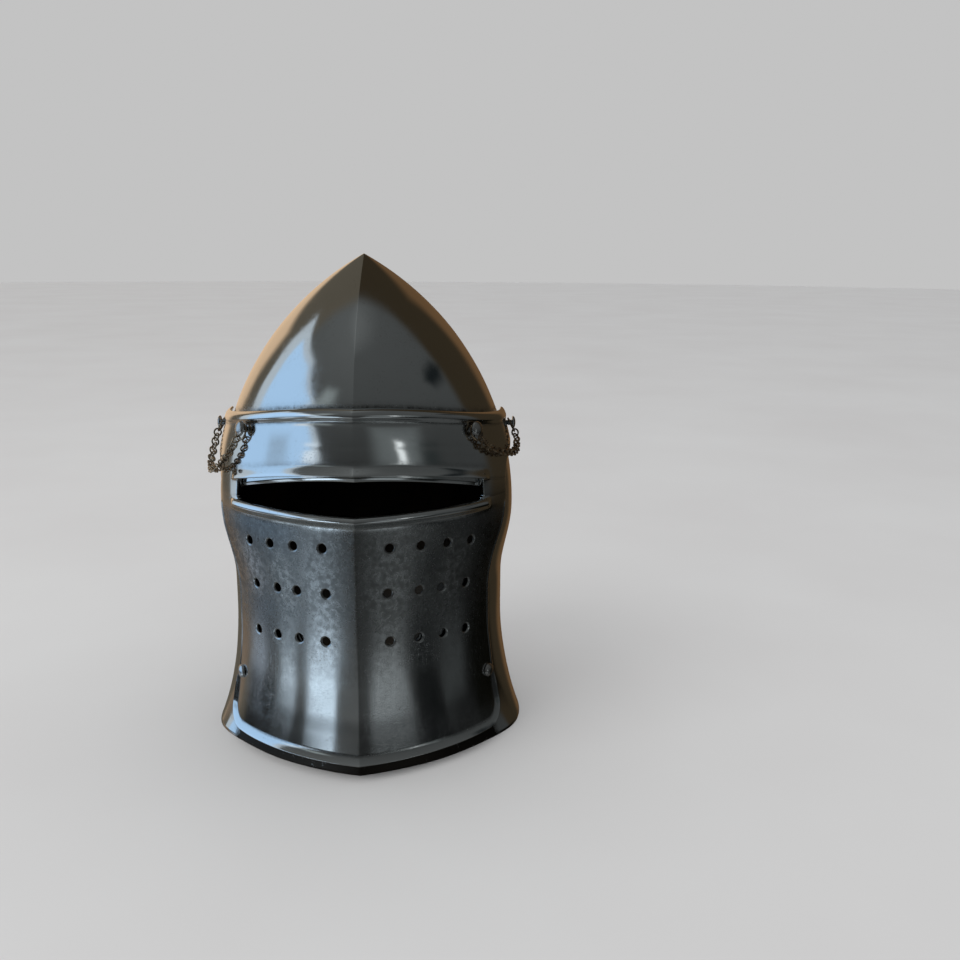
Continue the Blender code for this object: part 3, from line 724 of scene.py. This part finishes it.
def chain_rings(side_name):
    """Every ring of a chain as one mesh: a round wire swept round each circle, nicked where its ends meet.

    Each circle's middle, plane and radius are those of the frame's ring: its mean point, its flattest
    direction and its mean distance. Returns the points, the quads, a tone at every point that is the
    same all round a ring, and the names of the frame's rings.
    """
    nodes = sorted(name for name in frame["nodes"] if name.startswith(f"chain_{side_name}_"))
    turns = np.linspace(0, 2 * math.pi, RING_SIDES, endpoint=False)[:, None]
    rolls = np.linspace(0, 2 * math.pi, WIRE_SIDES, endpoint=False)[None, :]
    draw = np.random.default_rng(len(nodes))
    points, tones = [], []
    for node in nodes:
        mesh = frame["nodes"][node].data
        corners = np.empty(len(mesh.vertices) * 3)
        mesh.vertices.foreach_get("co", corners)
        corners = np.unique(np.round(corners.reshape(-1, 3) / MM, 4), axis=0)
        centre = corners.mean(axis=0)
        across, _, normal = np.linalg.svd(corners - centre)[2]
        radius = np.linalg.norm(corners - centre, axis=1).mean()
        start = draw.uniform(0, 2 * math.pi)
        nick = 1 - NICK_DEPTH * bump_across(np.angle(np.exp(1j * (turns - start))), 0, NICK_WIDTH)
        reach = radius * (1 + draw.uniform(0.0, OUT_OF_ROUND) * np.cos(2 * turns))
        reach = reach + WIRE * nick * np.cos(rolls)
        spoke = np.cos(turns)[..., None] * across + np.sin(turns)[..., None] * np.cross(normal, across)
        points.append(centre + reach[..., None] * spoke + (WIRE * nick * np.sin(rolls))[..., None] * normal)
        tones.append(np.full(turns.size * rolls.size, draw.uniform()))
    number = np.arange(turns.size * rolls.size).reshape(turns.size, rolls.size)
    ahead, beside = np.roll(number, -1, axis=0), np.roll(number, -1, axis=1)
    quads = np.stack([number, ahead, np.roll(ahead, -1, axis=1), beside], axis=-1).reshape(-1, 4)
    offsets = np.arange(len(nodes))[:, None, None] * number.size
    return np.array(points).reshape(-1, 3), (quads + offsets).reshape(-1, 4), np.concatenate(tones), nodes


def mesh_piece(name, points, quads, triangles, body, slot, finishes, inside=None, **marks):
    """One object of the helmet: its mesh in metres, its materials, its marks on the points, its body.

    inside is the number of the material for every face, quads first.
    """
    mesh = bpy.data.meshes.new(name)
    sizes = np.concatenate([np.full(len(quads), 4), np.full(len(triangles), 3)])
    corners = np.concatenate([quads.ravel(), triangles.ravel()])
    mesh.vertices.add(len(points))
    mesh.loops.add(len(corners))
    mesh.polygons.add(len(sizes))
    mesh.vertices.foreach_set("co", (points * MM).ravel())
    mesh.loops.foreach_set("vertex_index", corners)
    mesh.polygons.foreach_set("loop_start", np.append(0, np.cumsum(sizes)[:-1]))
    for finish in finishes:
        mesh.materials.append(finish)
    if inside is not None:
        mesh.polygons.foreach_set("material_index", inside)
    for mark, values in marks.items():
        mesh.attributes.new(mark, "FLOAT", "POINT").data.foreach_set("value", values.astype(np.float32))
    mesh.update(calc_edges=True)
    mesh.validate()
    mesh.shade_smooth()
    piece = bpy.data.objects.new(name, mesh)
    bpy.context.scene.collection.objects.link(piece)
    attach(piece, body)
    return piece


class Shading:
    """Shorthand for a node tree. A value may always be given as another node's output."""

    def __init__(self, tree):
        self.tree = tree

    def give(self, socket, value):
        """Links a socket to an output, or sets its value."""
        if isinstance(value, bpy.types.NodeSocket):
            self.tree.links.new(value, socket)
        else:
            socket.default_value = value

    def add(self, kind, inputs=(), **settings):
        """A new node with its settings and inputs."""
        node = self.tree.nodes.new("ShaderNode" + kind)
        for key, value in settings.items():
            setattr(node, key, value)
        for key, value in dict(inputs).items():
            self.give(node.inputs[key], value)
        return node

    def math(self, operation, *values, clamp=False):
        """One operation on its values."""
        return self.add("Math", dict(enumerate(values)), operation=operation, use_clamp=clamp).outputs[0]

    def plus(self, base, value, share):
        """The base and a share of a value."""
        return self.math("MULTIPLY_ADD", value, share, base)

    def step(self, value, low, high):
        """0 below low, 1 above high, and a cubic between."""
        return self.add("MapRange", {0: value, 1: low, 2: high}, interpolation_type="SMOOTHSTEP").outputs[0]

    def ramp(self, value, *stops, eased=False):
        """Greys or colours at places from 0 to 1."""
        node = self.add("ValToRGB", {0: value})
        node.color_ramp.interpolation = "EASE" if eased else "LINEAR"
        steps = node.color_ramp.elements
        while len(steps) < len(stops):
            steps.new(0.5)
        for step, (place, shade) in zip(steps, stops):
            step.position = place
            step.color = (*shade, 1) if isinstance(shade, tuple) else (shade, shade, shade, 1)
        return node.outputs[0]

    def blend(self, share, first, second, mode="MIX"):
        """From the first colour to the second."""
        first, second = ((*colour, 1) if isinstance(colour, tuple) else colour for colour in (first, second))
        return self.add("Mix", {0: share, 6: first, 7: second}, data_type="RGBA", blend_type=mode).outputs[2]

    def noise(self, place, scale, detail=4.0, rough=0.55, stretch=(1, 1, 1), turn=(0, 0, 0)):
        """Noise of about scale swells to the metre, drawn out along the axes and then turned."""
        mapped = self.add("Mapping", {"Vector": place, "Rotation": turn, "Scale": stretch}).outputs[0]
        inputs = {"Vector": mapped, "Scale": scale, "Detail": detail, "Roughness": rough}
        return self.add("TexNoise", inputs).outputs[0]

    def effect(self, tree, **values):
        """The outputs of a shared effect placed here with its own values."""
        return self.add("Group", values, node_tree=tree).outputs

    def mark(self, name):
        """A mark kept on the mesh's points."""
        return self.add("Attribute", attribute_name=name).outputs["Fac"]


def effect_group(name, inputs, outputs):
    """A shader node group with named sockets: its tree, its shading, what it is given and what it makes."""
    tree = bpy.data.node_groups.new(name, "ShaderNodeTree")
    for direction, sockets in (("INPUT", inputs), ("OUTPUT", outputs)):
        for socket in sockets:
            kind = "NodeSocketVector" if socket == "Place" else "NodeSocketFloat"
            tree.interface.new_socket(socket, in_out=direction, socket_type=kind)
    given, made = tree.nodes.new("NodeGroupInput").outputs, tree.nodes.new("NodeGroupOutput").inputs
    return tree, Shading(tree), given, made


# How the noise of each set of hairlines is turned, and how it is drawn out.
HAIRLINE_TURNS = (
    ((0.2, 0.1, 0.5), (1, 1, 0.05)),
    ((0.9, -0.4, 1.4), (1, 0.06, 1)),
    ((-0.6, 0.7, 2.3), (0.05, 1, 1)),
)


def polishing_group():
    """Polisher's marks: hairlines in three directions, and soft upright streaks from a buffing wheel.

    A hairline runs where a drawn-out noise crosses its middle value.
    """
    tree, shade, given, made = effect_group(
        "polishing marks", ("Place", "Hairlines", "Streaks"), ("Roughness", "Height"))
    lines = 0.0
    for turn, stretch in HAIRLINE_TURNS:
        field = shade.noise(given["Place"], 620, 2.0, 0.5, stretch, turn)
        off = shade.math("ABSOLUTE", shade.math("SUBTRACT", field, 0.5))
        line = shade.math("SUBTRACT", 1.0, shade.math("MULTIPLY", off, 38.0), clamp=True)
        lines = shade.math("ADD", lines, line)
    patchy = shade.ramp(shade.noise(given["Place"], 24, 3.0), (0.42, 0.0), (0.66, 1.0))
    lines = shade.math("MULTIPLY", shade.math("MULTIPLY", lines, patchy), given["Hairlines"])
    streaks = shade.noise(given["Place"], 150, 3.0, 0.6, (1, 1, 0.09))
    streaks = shade.math("MULTIPLY", shade.math("SUBTRACT", streaks, 0.5), given["Streaks"])
    tree.links.new(shade.math("ADD", lines, streaks), made["Roughness"])
    height = shade.math("SUBTRACT", shade.math("MULTIPLY", streaks, 1.5), shade.math("MULTIPLY", lines, 0.5))
    tree.links.new(height, made["Height"])
    return tree


def tarnish_group():
    """Tarnish: cloudy patches, and fine dark specks that gather inside them."""
    tree, shade, given, made = effect_group("tarnish", ("Place", "Size", "Amount"), ("Clouds", "Specks"))
    spread = shade.add("VectorMath", {0: given["Place"], 1: given["Size"]}, operation="MULTIPLY").outputs[0]
    clouds = shade.ramp(shade.noise(spread, 16, 7.0, 0.62), (0.40, 0.0), (0.68, 1.0), eased=True)
    fine = shade.ramp(shade.noise(spread, 900, 2.0, 0.6), (0.60, 0.0), (0.70, 1.0))
    gather = shade.ramp(shade.noise(spread, 42, 3.0, 0.6), (0.46, 0.0), (0.64, 1.0))
    specks = shade.math("MULTIPLY", shade.math("MULTIPLY", fine, gather), given["Amount"])
    tree.links.new(shade.math("MULTIPLY", clouds, given["Amount"]), made["Clouds"])
    tree.links.new(specks, made["Specks"])
    return tree


def new_material(name, metallic=1.0):
    """A material, its shading, and the place on the piece."""
    made = bpy.data.materials.new(name)
    made.use_nodes = True
    made.node_tree.nodes["Principled BSDF"].inputs["Metallic"].default_value = metallic
    shade = Shading(made.node_tree)
    return made, shade, shade.add("TexCoord").outputs["Object"]


def set_surface(shade, colour, rough, height, depth):
    """Gives the shader its colour, its roughness, and its normal from a height field, depth in metres."""
    shader = shade.tree.nodes["Principled BSDF"]
    bump = shade.add("Bump", {"Strength": 1.0, "Distance": depth, "Height": height}).outputs[0]
    for socket, value in (("Base Color", colour), ("Roughness", rough), ("Normal", bump)):
        shade.tree.links.new(value, shader.inputs[socket])


# The steels: bright and tarnished shade, roughness, and how much there is of each mark.
PLATE_STEEL = dict(bright=(0.63, 0.65, 0.66), dull=(0.55, 0.56, 0.56), rough=0.10,
                   hairlines=0.5, streaks=0.5, tarnished=0.4)
SHELL_STEEL = dict(bright=(0.63, 0.65, 0.66), dull=(0.56, 0.57, 0.57), rough=0.075,
                   hairlines=0.5, streaks=0.2, tarnished=0.35)
STUD_STEEL = dict(bright=(0.60, 0.61, 0.62), dull=(0.38, 0.36, 0.34), rough=0.2,
                  hairlines=0.8, streaks=0.2, tarnished=1.0)
# The brown of tarnish specks, the bright of rubbed spots with their painted sheen, and the black of painted
# shade.
SPECK_BROWN, WEAR_AND_SHEEN_BRIGHT, SHADE_AND_DARKENING_BLACK = (0.10, 0.085, 0.07), (0.78, 0.79, 0.80), (0.035, 0.03, 0.026)


def steel(name, polishing, tarnish, bright, dull, rough, hairlines, streaks, tarnished, marked=True):
    """Polished steel: bright and dull shades by tarnish, and rougher along hairlines, streaks and specks.

    Where the mesh is marked, rubbing with a painted sheen makes it brighter and smoother, and painted shade
    and darkening, broken up by noise, make it black and rough.
    """
    made, shade, place = new_material(name)
    polish = shade.effect(polishing, Place=place, Hairlines=hairlines, Streaks=streaks)
    spots = shade.effect(tarnish, Place=place, Size=1.0, Amount=tarnished)
    colour = shade.blend(spots["Clouds"], bright, dull)
    colour = shade.blend(shade.math("MULTIPLY", spots["Specks"], 0.7), colour, SPECK_BROWN)
    rough = shade.plus(rough, spots["Clouds"], 0.05)
    rough = shade.plus(rough, spots["Specks"], 0.25)
    rough = shade.plus(rough, polish["Roughness"], 0.16)
    if marked:
        broken = shade.ramp(shade.noise(place, 260, 4.0, 0.65), (0.30, 0.35), (0.62, 1.0))
        # Painted shade and darkening from the mesh's marks, broken up by noise.
        shade_and_darkening_share = shade.math("MULTIPLY", shade.mark("grime"), broken, clamp=True)
        # Rubbed bright from the mesh's marks, partly a painted sheen: brighter and smoother.
        wear_and_sheen_share = shade.math("MULTIPLY", shade.mark("wear"), 0.6, clamp=True)
        colour = shade.blend(shade_and_darkening_share, shade.blend(wear_and_sheen_share, colour, WEAR_AND_SHEEN_BRIGHT), SHADE_AND_DARKENING_BLACK)
        rough = shade.plus(shade.plus(rough, shade_and_darkening_share, 0.35), wear_and_sheen_share, -0.05)
    set_surface(shade, colour, rough, shade.plus(polish["Height"], spots["Specks"], -1.2), 0.00002)
    return made


def inside_steel(tarnish):
    """The unpolished inside: black scale with rust brown clouds, rough and uneven."""
    made, shade, place = new_material("inside_scale")
    clouds = shade.effect(tarnish, Place=place, Size=1.6, Amount=1.0)["Clouds"]
    colour = shade.blend(clouds, (0.05, 0.047, 0.044), (0.10, 0.072, 0.05))
    set_surface(shade, colour, shade.plus(0.5, clouds, 0.2), shade.noise(place, 220, 5.0, 0.6), 0.00006)
    return made


def chain_steel(tarnish):
    """Blackened chain: each ring between black and bronze brown, rubbed bright and smoother in clouds."""
    made, shade, place = new_material("chain_steel")
    clouds = shade.effect(tarnish, Place=place, Size=6.0, Amount=1.0)["Clouds"]
    colour = shade.blend(shade.mark("tone"), (0.12, 0.095, 0.075), (0.42, 0.30, 0.19))
    colour = shade.blend(clouds, colour, (0.60, 0.47, 0.33))
    set_surface(shade, colour, shade.plus(0.34, clouds, -0.12), shade.noise(place, 1400, 3.0), 0.0001)
    return made


def floor_finish():
    """A plain pale table top, left out of what the polished steel mirrors."""
    made, shade, place = new_material("pale_floor", metallic=0.0)
    nodes = made.node_tree.nodes
    shader = nodes["Principled BSDF"]
    colour = shade.ramp(shade.noise(place, 3, 3.0), (0.3, (0.60, 0.59, 0.58)), (0.7, (0.63, 0.625, 0.615)))
    shade.give(shader.inputs["Base Color"], colour)
    shade.give(shader.inputs["Roughness"], 0.75)
    mirrored, clear = shade.add("LightPath").outputs["Is Glossy Ray"], shade.add("BsdfTransparent").outputs[0]
    mix = shade.add("MixShader", {0: mirrored, 1: shader.outputs[0], 2: clear})
    shade.give(nodes["Material Output"].inputs["Surface"], mix.outputs[0])
    return made


# The studio that the steel mirrors. Brightness of its left and right walls by height, from 0 straight
# below to 1 straight above; their tint; how many degrees to both sides of the front they blend over; and
# the warm walls behind the helmet, with how far back a direction points where they take over.
LEFT_WALL = ((0.30, 0.16), (0.370, 0.15), (0.388, 0.022), (0.42, 0.022),
             (0.44, 0.05), (0.61, 0.09), (0.86, 0.13), (0.94, 0.22))
RIGHT_WALL = ((0.30, 0.08), (0.370, 0.06), (0.388, 0.008), (0.42, 0.01),
              (0.44, 0.05), (0.62, 0.075), (0.86, 0.09), (0.94, 0.15))
WALL_TINT, WALL_BLEND = (0.95, 1.0, 0.99), 25.0
WARM_LEFT, WARM_RIGHT, BEHIND = (0.12, 0.105, 0.08), (0.040, 0.030, 0.018), (0.24, 0.38)

# Its windows, lamps and dark corners: each an outline of azimuths and elevations in degrees, azimuth 0
# in front of the face and 90 at +X, counter-clockwise, with a colour and the width of its soft edge.
# Later ones cover earlier.
STUDIO_LIGHTS = (
    # corners, colour, soft edge
    (((-178, -14), (-137, -14), (-137, 22), (-178, 22)), (0.80, 0.57, 0.37), 9.0),
    (((-138, -34), (-116, -34), (-116, -12), (-138, -12)), (0.24, 0.18, 0.13), 6.0),
    (((-119, -11.5), (-50, -11.5), (-66, 21), (-89, 40), (-121, 41), (-129, 41)), (0.60, 0.68, 0.74), 2.0),
    (((-110, -11.5), (-54, -11.5), (-69, 20), (-90, 36), (-117, 36)), (0.55, 0.82, 1.15), 2.0),
    (((-67, 12), (-50, 12), (-50, 31), (-60, 31)), (0.30, 0.34, 0.34), 8.0),
    (((-73, 9), (-63, 9), (-65, 17), (-71, 17)), (0.92, 1.00, 1.06), 4.0),
    (((-88, -8), (-74, -8), (-74, 0), (-88, 0)), (0.40, 0.56, 0.74), 7.0),
    (((-64, -11.5), (-56, -11.5), (-55, -4), (-62, -4)), (0.95, 1.08, 1.20), 3.0),
    (((-66, -38), (-44, -38), (-46, -21.5), (-63, -21.5)), (1.25, 1.52, 1.76), 4.0),
    (((-113, -38), (-98, -38), (-98, -20.5), (-113, -20.5)), (0.46, 0.53, 0.62), 5.0),
    (((-86, -38), (-72, -38), (-73, -21), (-84, -21)), (0.72, 0.86, 0.98), 5.0),
    (((34, -14), (62, -14), (62, 8), (34, 8)), (0.15, 0.165, 0.165), 12.0),
    (((48, -10), (52, -10), (51, -1), (46.5, -1)), (1.2, 1.25, 1.25), 2.5),
    (((63, -9.5), (73, -9.5), (73, -2), (63, -2)), (0.03, 0.036, 0.036), 9.0),
    (((95, 25), (106, 25), (111, 29), (106, 34), (95, 34), (90, 30)), (0.012, 0.015, 0.016), 7.0),
    (((30, -38), (50, -38), (50, -21.5), (30, -21.5)), (0.34, 0.37, 0.38), 6.0),
    (((55, -38), (70, -38), (70, -17), (55, -17)), (0.008, 0.009, 0.009), 6.0),
    (((73, -24), (90, -24), (90, -18.5), (73, -18.5)), (0.055, 0.06, 0.06), 4.0),
    (((94, -38), (128, -38), (128, -12), (94, -12)), (0.003, 0.003, 0.002), 9.0),
    (((150, -24), (179, -24), (179, 34), (150, 34)), (0.15, 0.085, 0.04), 14.0),
)


def within(shade, turn, rise, corners, soft):
    """A mask of an outline by direction: the least depth inside its edges' lines, over its soft edge."""
    inside = None
    for (turn_a, rise_a), (turn_b, rise_b) in zip(corners, corners[1:] + corners[:1]):
        length = math.hypot(turn_b - turn_a, rise_b - rise_a)
        slope = (rise_a - rise_b) / length, (turn_b - turn_a) / length
        depth = shade.math("MULTIPLY_ADD", turn, slope[0], -slope[0] * turn_a - slope[1] * rise_a)
        depth = shade.math("MULTIPLY_ADD", rise, slope[1], depth)
        inside = depth if inside is None else shade.math("MINIMUM", inside, depth)
    return shade.step(inside, -soft / 2, soft / 2)


def studio_world():
    """The room: plain pale to the camera and to soft light, a dark studio by direction to the steel."""
    world = bpy.data.worlds.new("studio")
    world.use_nodes = True
    world.cycles.sampling_method = "NONE"
    bpy.context.scene.world = world
    shade = Shading(world.node_tree)
    where = shade.add("SeparateXYZ", {0: shade.add("TexCoord").outputs["Generated"]}).outputs
    rise = shade.math("MULTIPLY", shade.math("ARCSINE", where[2]), 180 / math.pi)
    turn = shade.math("ARCTAN2", where[0], shade.math("MULTIPLY", where[1], -1.0))
    turn = shade.math("MULTIPLY", turn, 180 / math.pi)
    height = shade.math("ADD", shade.math("DIVIDE", rise, 180.0), 0.5)
    side = shade.step(turn, -WALL_BLEND, WALL_BLEND)
    walls = shade.blend(side, shade.ramp(height, *LEFT_WALL), shade.ramp(height, *RIGHT_WALL))
    mirrored = shade.blend(1.0, walls, WALL_TINT, "MULTIPLY")
    mirrored = shade.blend(shade.step(where[1], *BEHIND), mirrored, shade.blend(side, WARM_LEFT, WARM_RIGHT))
    for corners, colour, soft in STUDIO_LIGHTS:
        mirrored = shade.blend(within(shade, turn, rise, corners, soft), mirrored, colour)
    path = shade.add("LightPath").outputs
    pale = shade.blend(path["Is Camera Ray"], (0.90, 0.91, 0.93), (0.545, 0.545, 0.545))
    seen = shade.blend(path["Is Glossy Ray"], pale, mirrored)
    shade.give(world.node_tree.nodes["Background"].inputs["Color"], seen)
    bpy.context.scene.view_settings.view_transform = "Standard"


FLOOR_RADIUS = 9

# Where the camera stands: metres from a place that is so many millimetres in front of the axis, metres
# above the floor, and degrees round from the front. Then how many degrees it looks to its right, looks
# down, and leans over, and its lens.
CAMERA = dict(away=0.684, front=4, height=0.331, turn=4.8, pan=1.77, tip=13.15, roll=0.4, lens=37.5)


def studio_floor(finish):
    """A flat disc under the helmet, far wider than the view, FLOOR_RADIUS metres in radius."""
    turns = np.linspace(0, 2 * math.pi, 96, endpoint=False)
    points = np.stack([np.cos(turns), np.sin(turns), np.zeros(turns.size)], axis=-1)
    mesh = bpy.data.meshes.new("floor")
    mesh.from_pydata(FLOOR_RADIUS * points, [], [tuple(range(turns.size))])
    mesh.materials.append(finish)
    floor = bpy.data.objects.new("floor", mesh)
    bpy.context.scene.collection.objects.link(floor)


def key_light():
    """One big soft lamp high on the left, for the shadow on the table; the steel doesn't mirror it."""
    data = bpy.data.lights.new("key", "AREA")
    data.shape, data.size, data.energy = "DISK", 1.6, 16
    lamp = bpy.data.objects.new("key", data)
    bpy.context.scene.collection.objects.link(lamp)
    lamp.location = (-1.4, -1.2, 2.0)
    lamp.rotation_euler = (Vector((0, 0, 0.1)) - lamp.location).to_track_quat("-Z", "Y").to_euler()
    lamp.visible_glossy = False


def view_camera():
    """The camera: in front, a little to the right, looking a little down and past the helmet.

    It looks along the direction that the pan and the tip give, and its right and up are turned by the
    roll.
    """
    turn, pan, tip, roll = (math.radians(CAMERA[angle]) for angle in ("turn", "pan", "tip", "roll"))
    data = bpy.data.cameras.new("view")
    data.lens, data.sensor_width, data.clip_start = CAMERA["lens"], 36, 0.01
    camera = bpy.data.objects.new("view", data)
    bpy.context.scene.collection.objects.link(camera)
    ahead = Vector((math.sin(pan) * math.cos(tip), math.cos(pan) * math.cos(tip), -math.sin(tip)))
    right = Vector((math.cos(pan), -math.sin(pan), 0))
    up = right.cross(ahead)
    right, up = right * math.cos(roll) + up * math.sin(roll), up * math.cos(roll) - right * math.sin(roll)
    away, middle = CAMERA["away"], (AXIS_Y - CAMERA["front"]) * MM
    place = Vector((away * math.sin(turn), -away * math.cos(turn) + middle, CAMERA["height"]))
    camera.matrix_world = Matrix.Translation(place) @ Matrix((right, up, -ahead)).transposed().to_4x4()
    bpy.context.scene.camera = camera


def make_shells(shell_steel, plate_steel, scale):
    """The skull and the visor, each with a polished outside and a scaled inside."""
    for name, body, node, shape, finish in (("skull_shell", "helmet", "skull", skull_shell, shell_steel),
                                            ("visor_plate", "visor", "visor", visor_plate, plate_steel)):
        (points, origin, quads, triangles, inside), grime, wear = shape()
        # The marks carry painted shade and darkening, and rubbing with a painted sheen.
        piece = mesh_piece(name, points, quads, triangles, body, "polished_steel", (finish, scale), inside,
                           grime=grime[origin], wear=wear[origin])
        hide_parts(node)


def make_fittings(name, side, stud_steel, chain):
    """The stud, the pin, the rivet and the chain of one side, which is -1 at the left and 1 at the right."""
    pin = np.array([side * (half_width(PIVOT_Z) + PIN_OUT), PIVOT_Y, PIVOT_Z])
    heads = (("chain_stud", STUD, on_visor(STUD_Z, side * STUD_ANGLE)),
             ("pivot", PIN, (pin, np.array([side, 0.0, 0.0]))),
             ("side_rivet", RIVET, on_visor(RIVET_Z, side * RIVET_ANGLE)))
    for node, kind, (centre, normal) in heads:
        points, quads, triangles = revolved(head_profile(kind), centre, normal)
        piece = mesh_piece(f"{node}_head_{name}", points, quads, triangles, "visor", "rivet_steel",
                           (stud_steel,))
        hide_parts(f"{node}_{name}")
    points, quads, tone, rings = chain_rings(name)
    piece = mesh_piece(f"chain_rings_{name}", points, quads, np.zeros((0, 3), int), "visor",
                       "blackened_steel", (chain,), tone=tone)
    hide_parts(*rings)


def main():
    """Makes the finishes, the pieces, the room and the camera."""
    polishing, tarnish = polishing_group(), tarnish_group()
    plate_steel = steel("plate_steel", polishing, tarnish, **PLATE_STEEL)
    shell_steel = steel("shell_steel", polishing, tarnish, **SHELL_STEEL)
    stud_steel = steel("stud_steel", polishing, tarnish, **STUD_STEEL, marked=False)
    scale, chain = inside_steel(tarnish), chain_steel(tarnish)
    make_shells(shell_steel, plate_steel, scale)
    for name, side in (("left", -1), ("right", 1)):
        make_fittings(name, side, stud_steel, chain)
    studio_world()
    studio_floor(floor_finish())
    key_light()
    view_camera()


main()
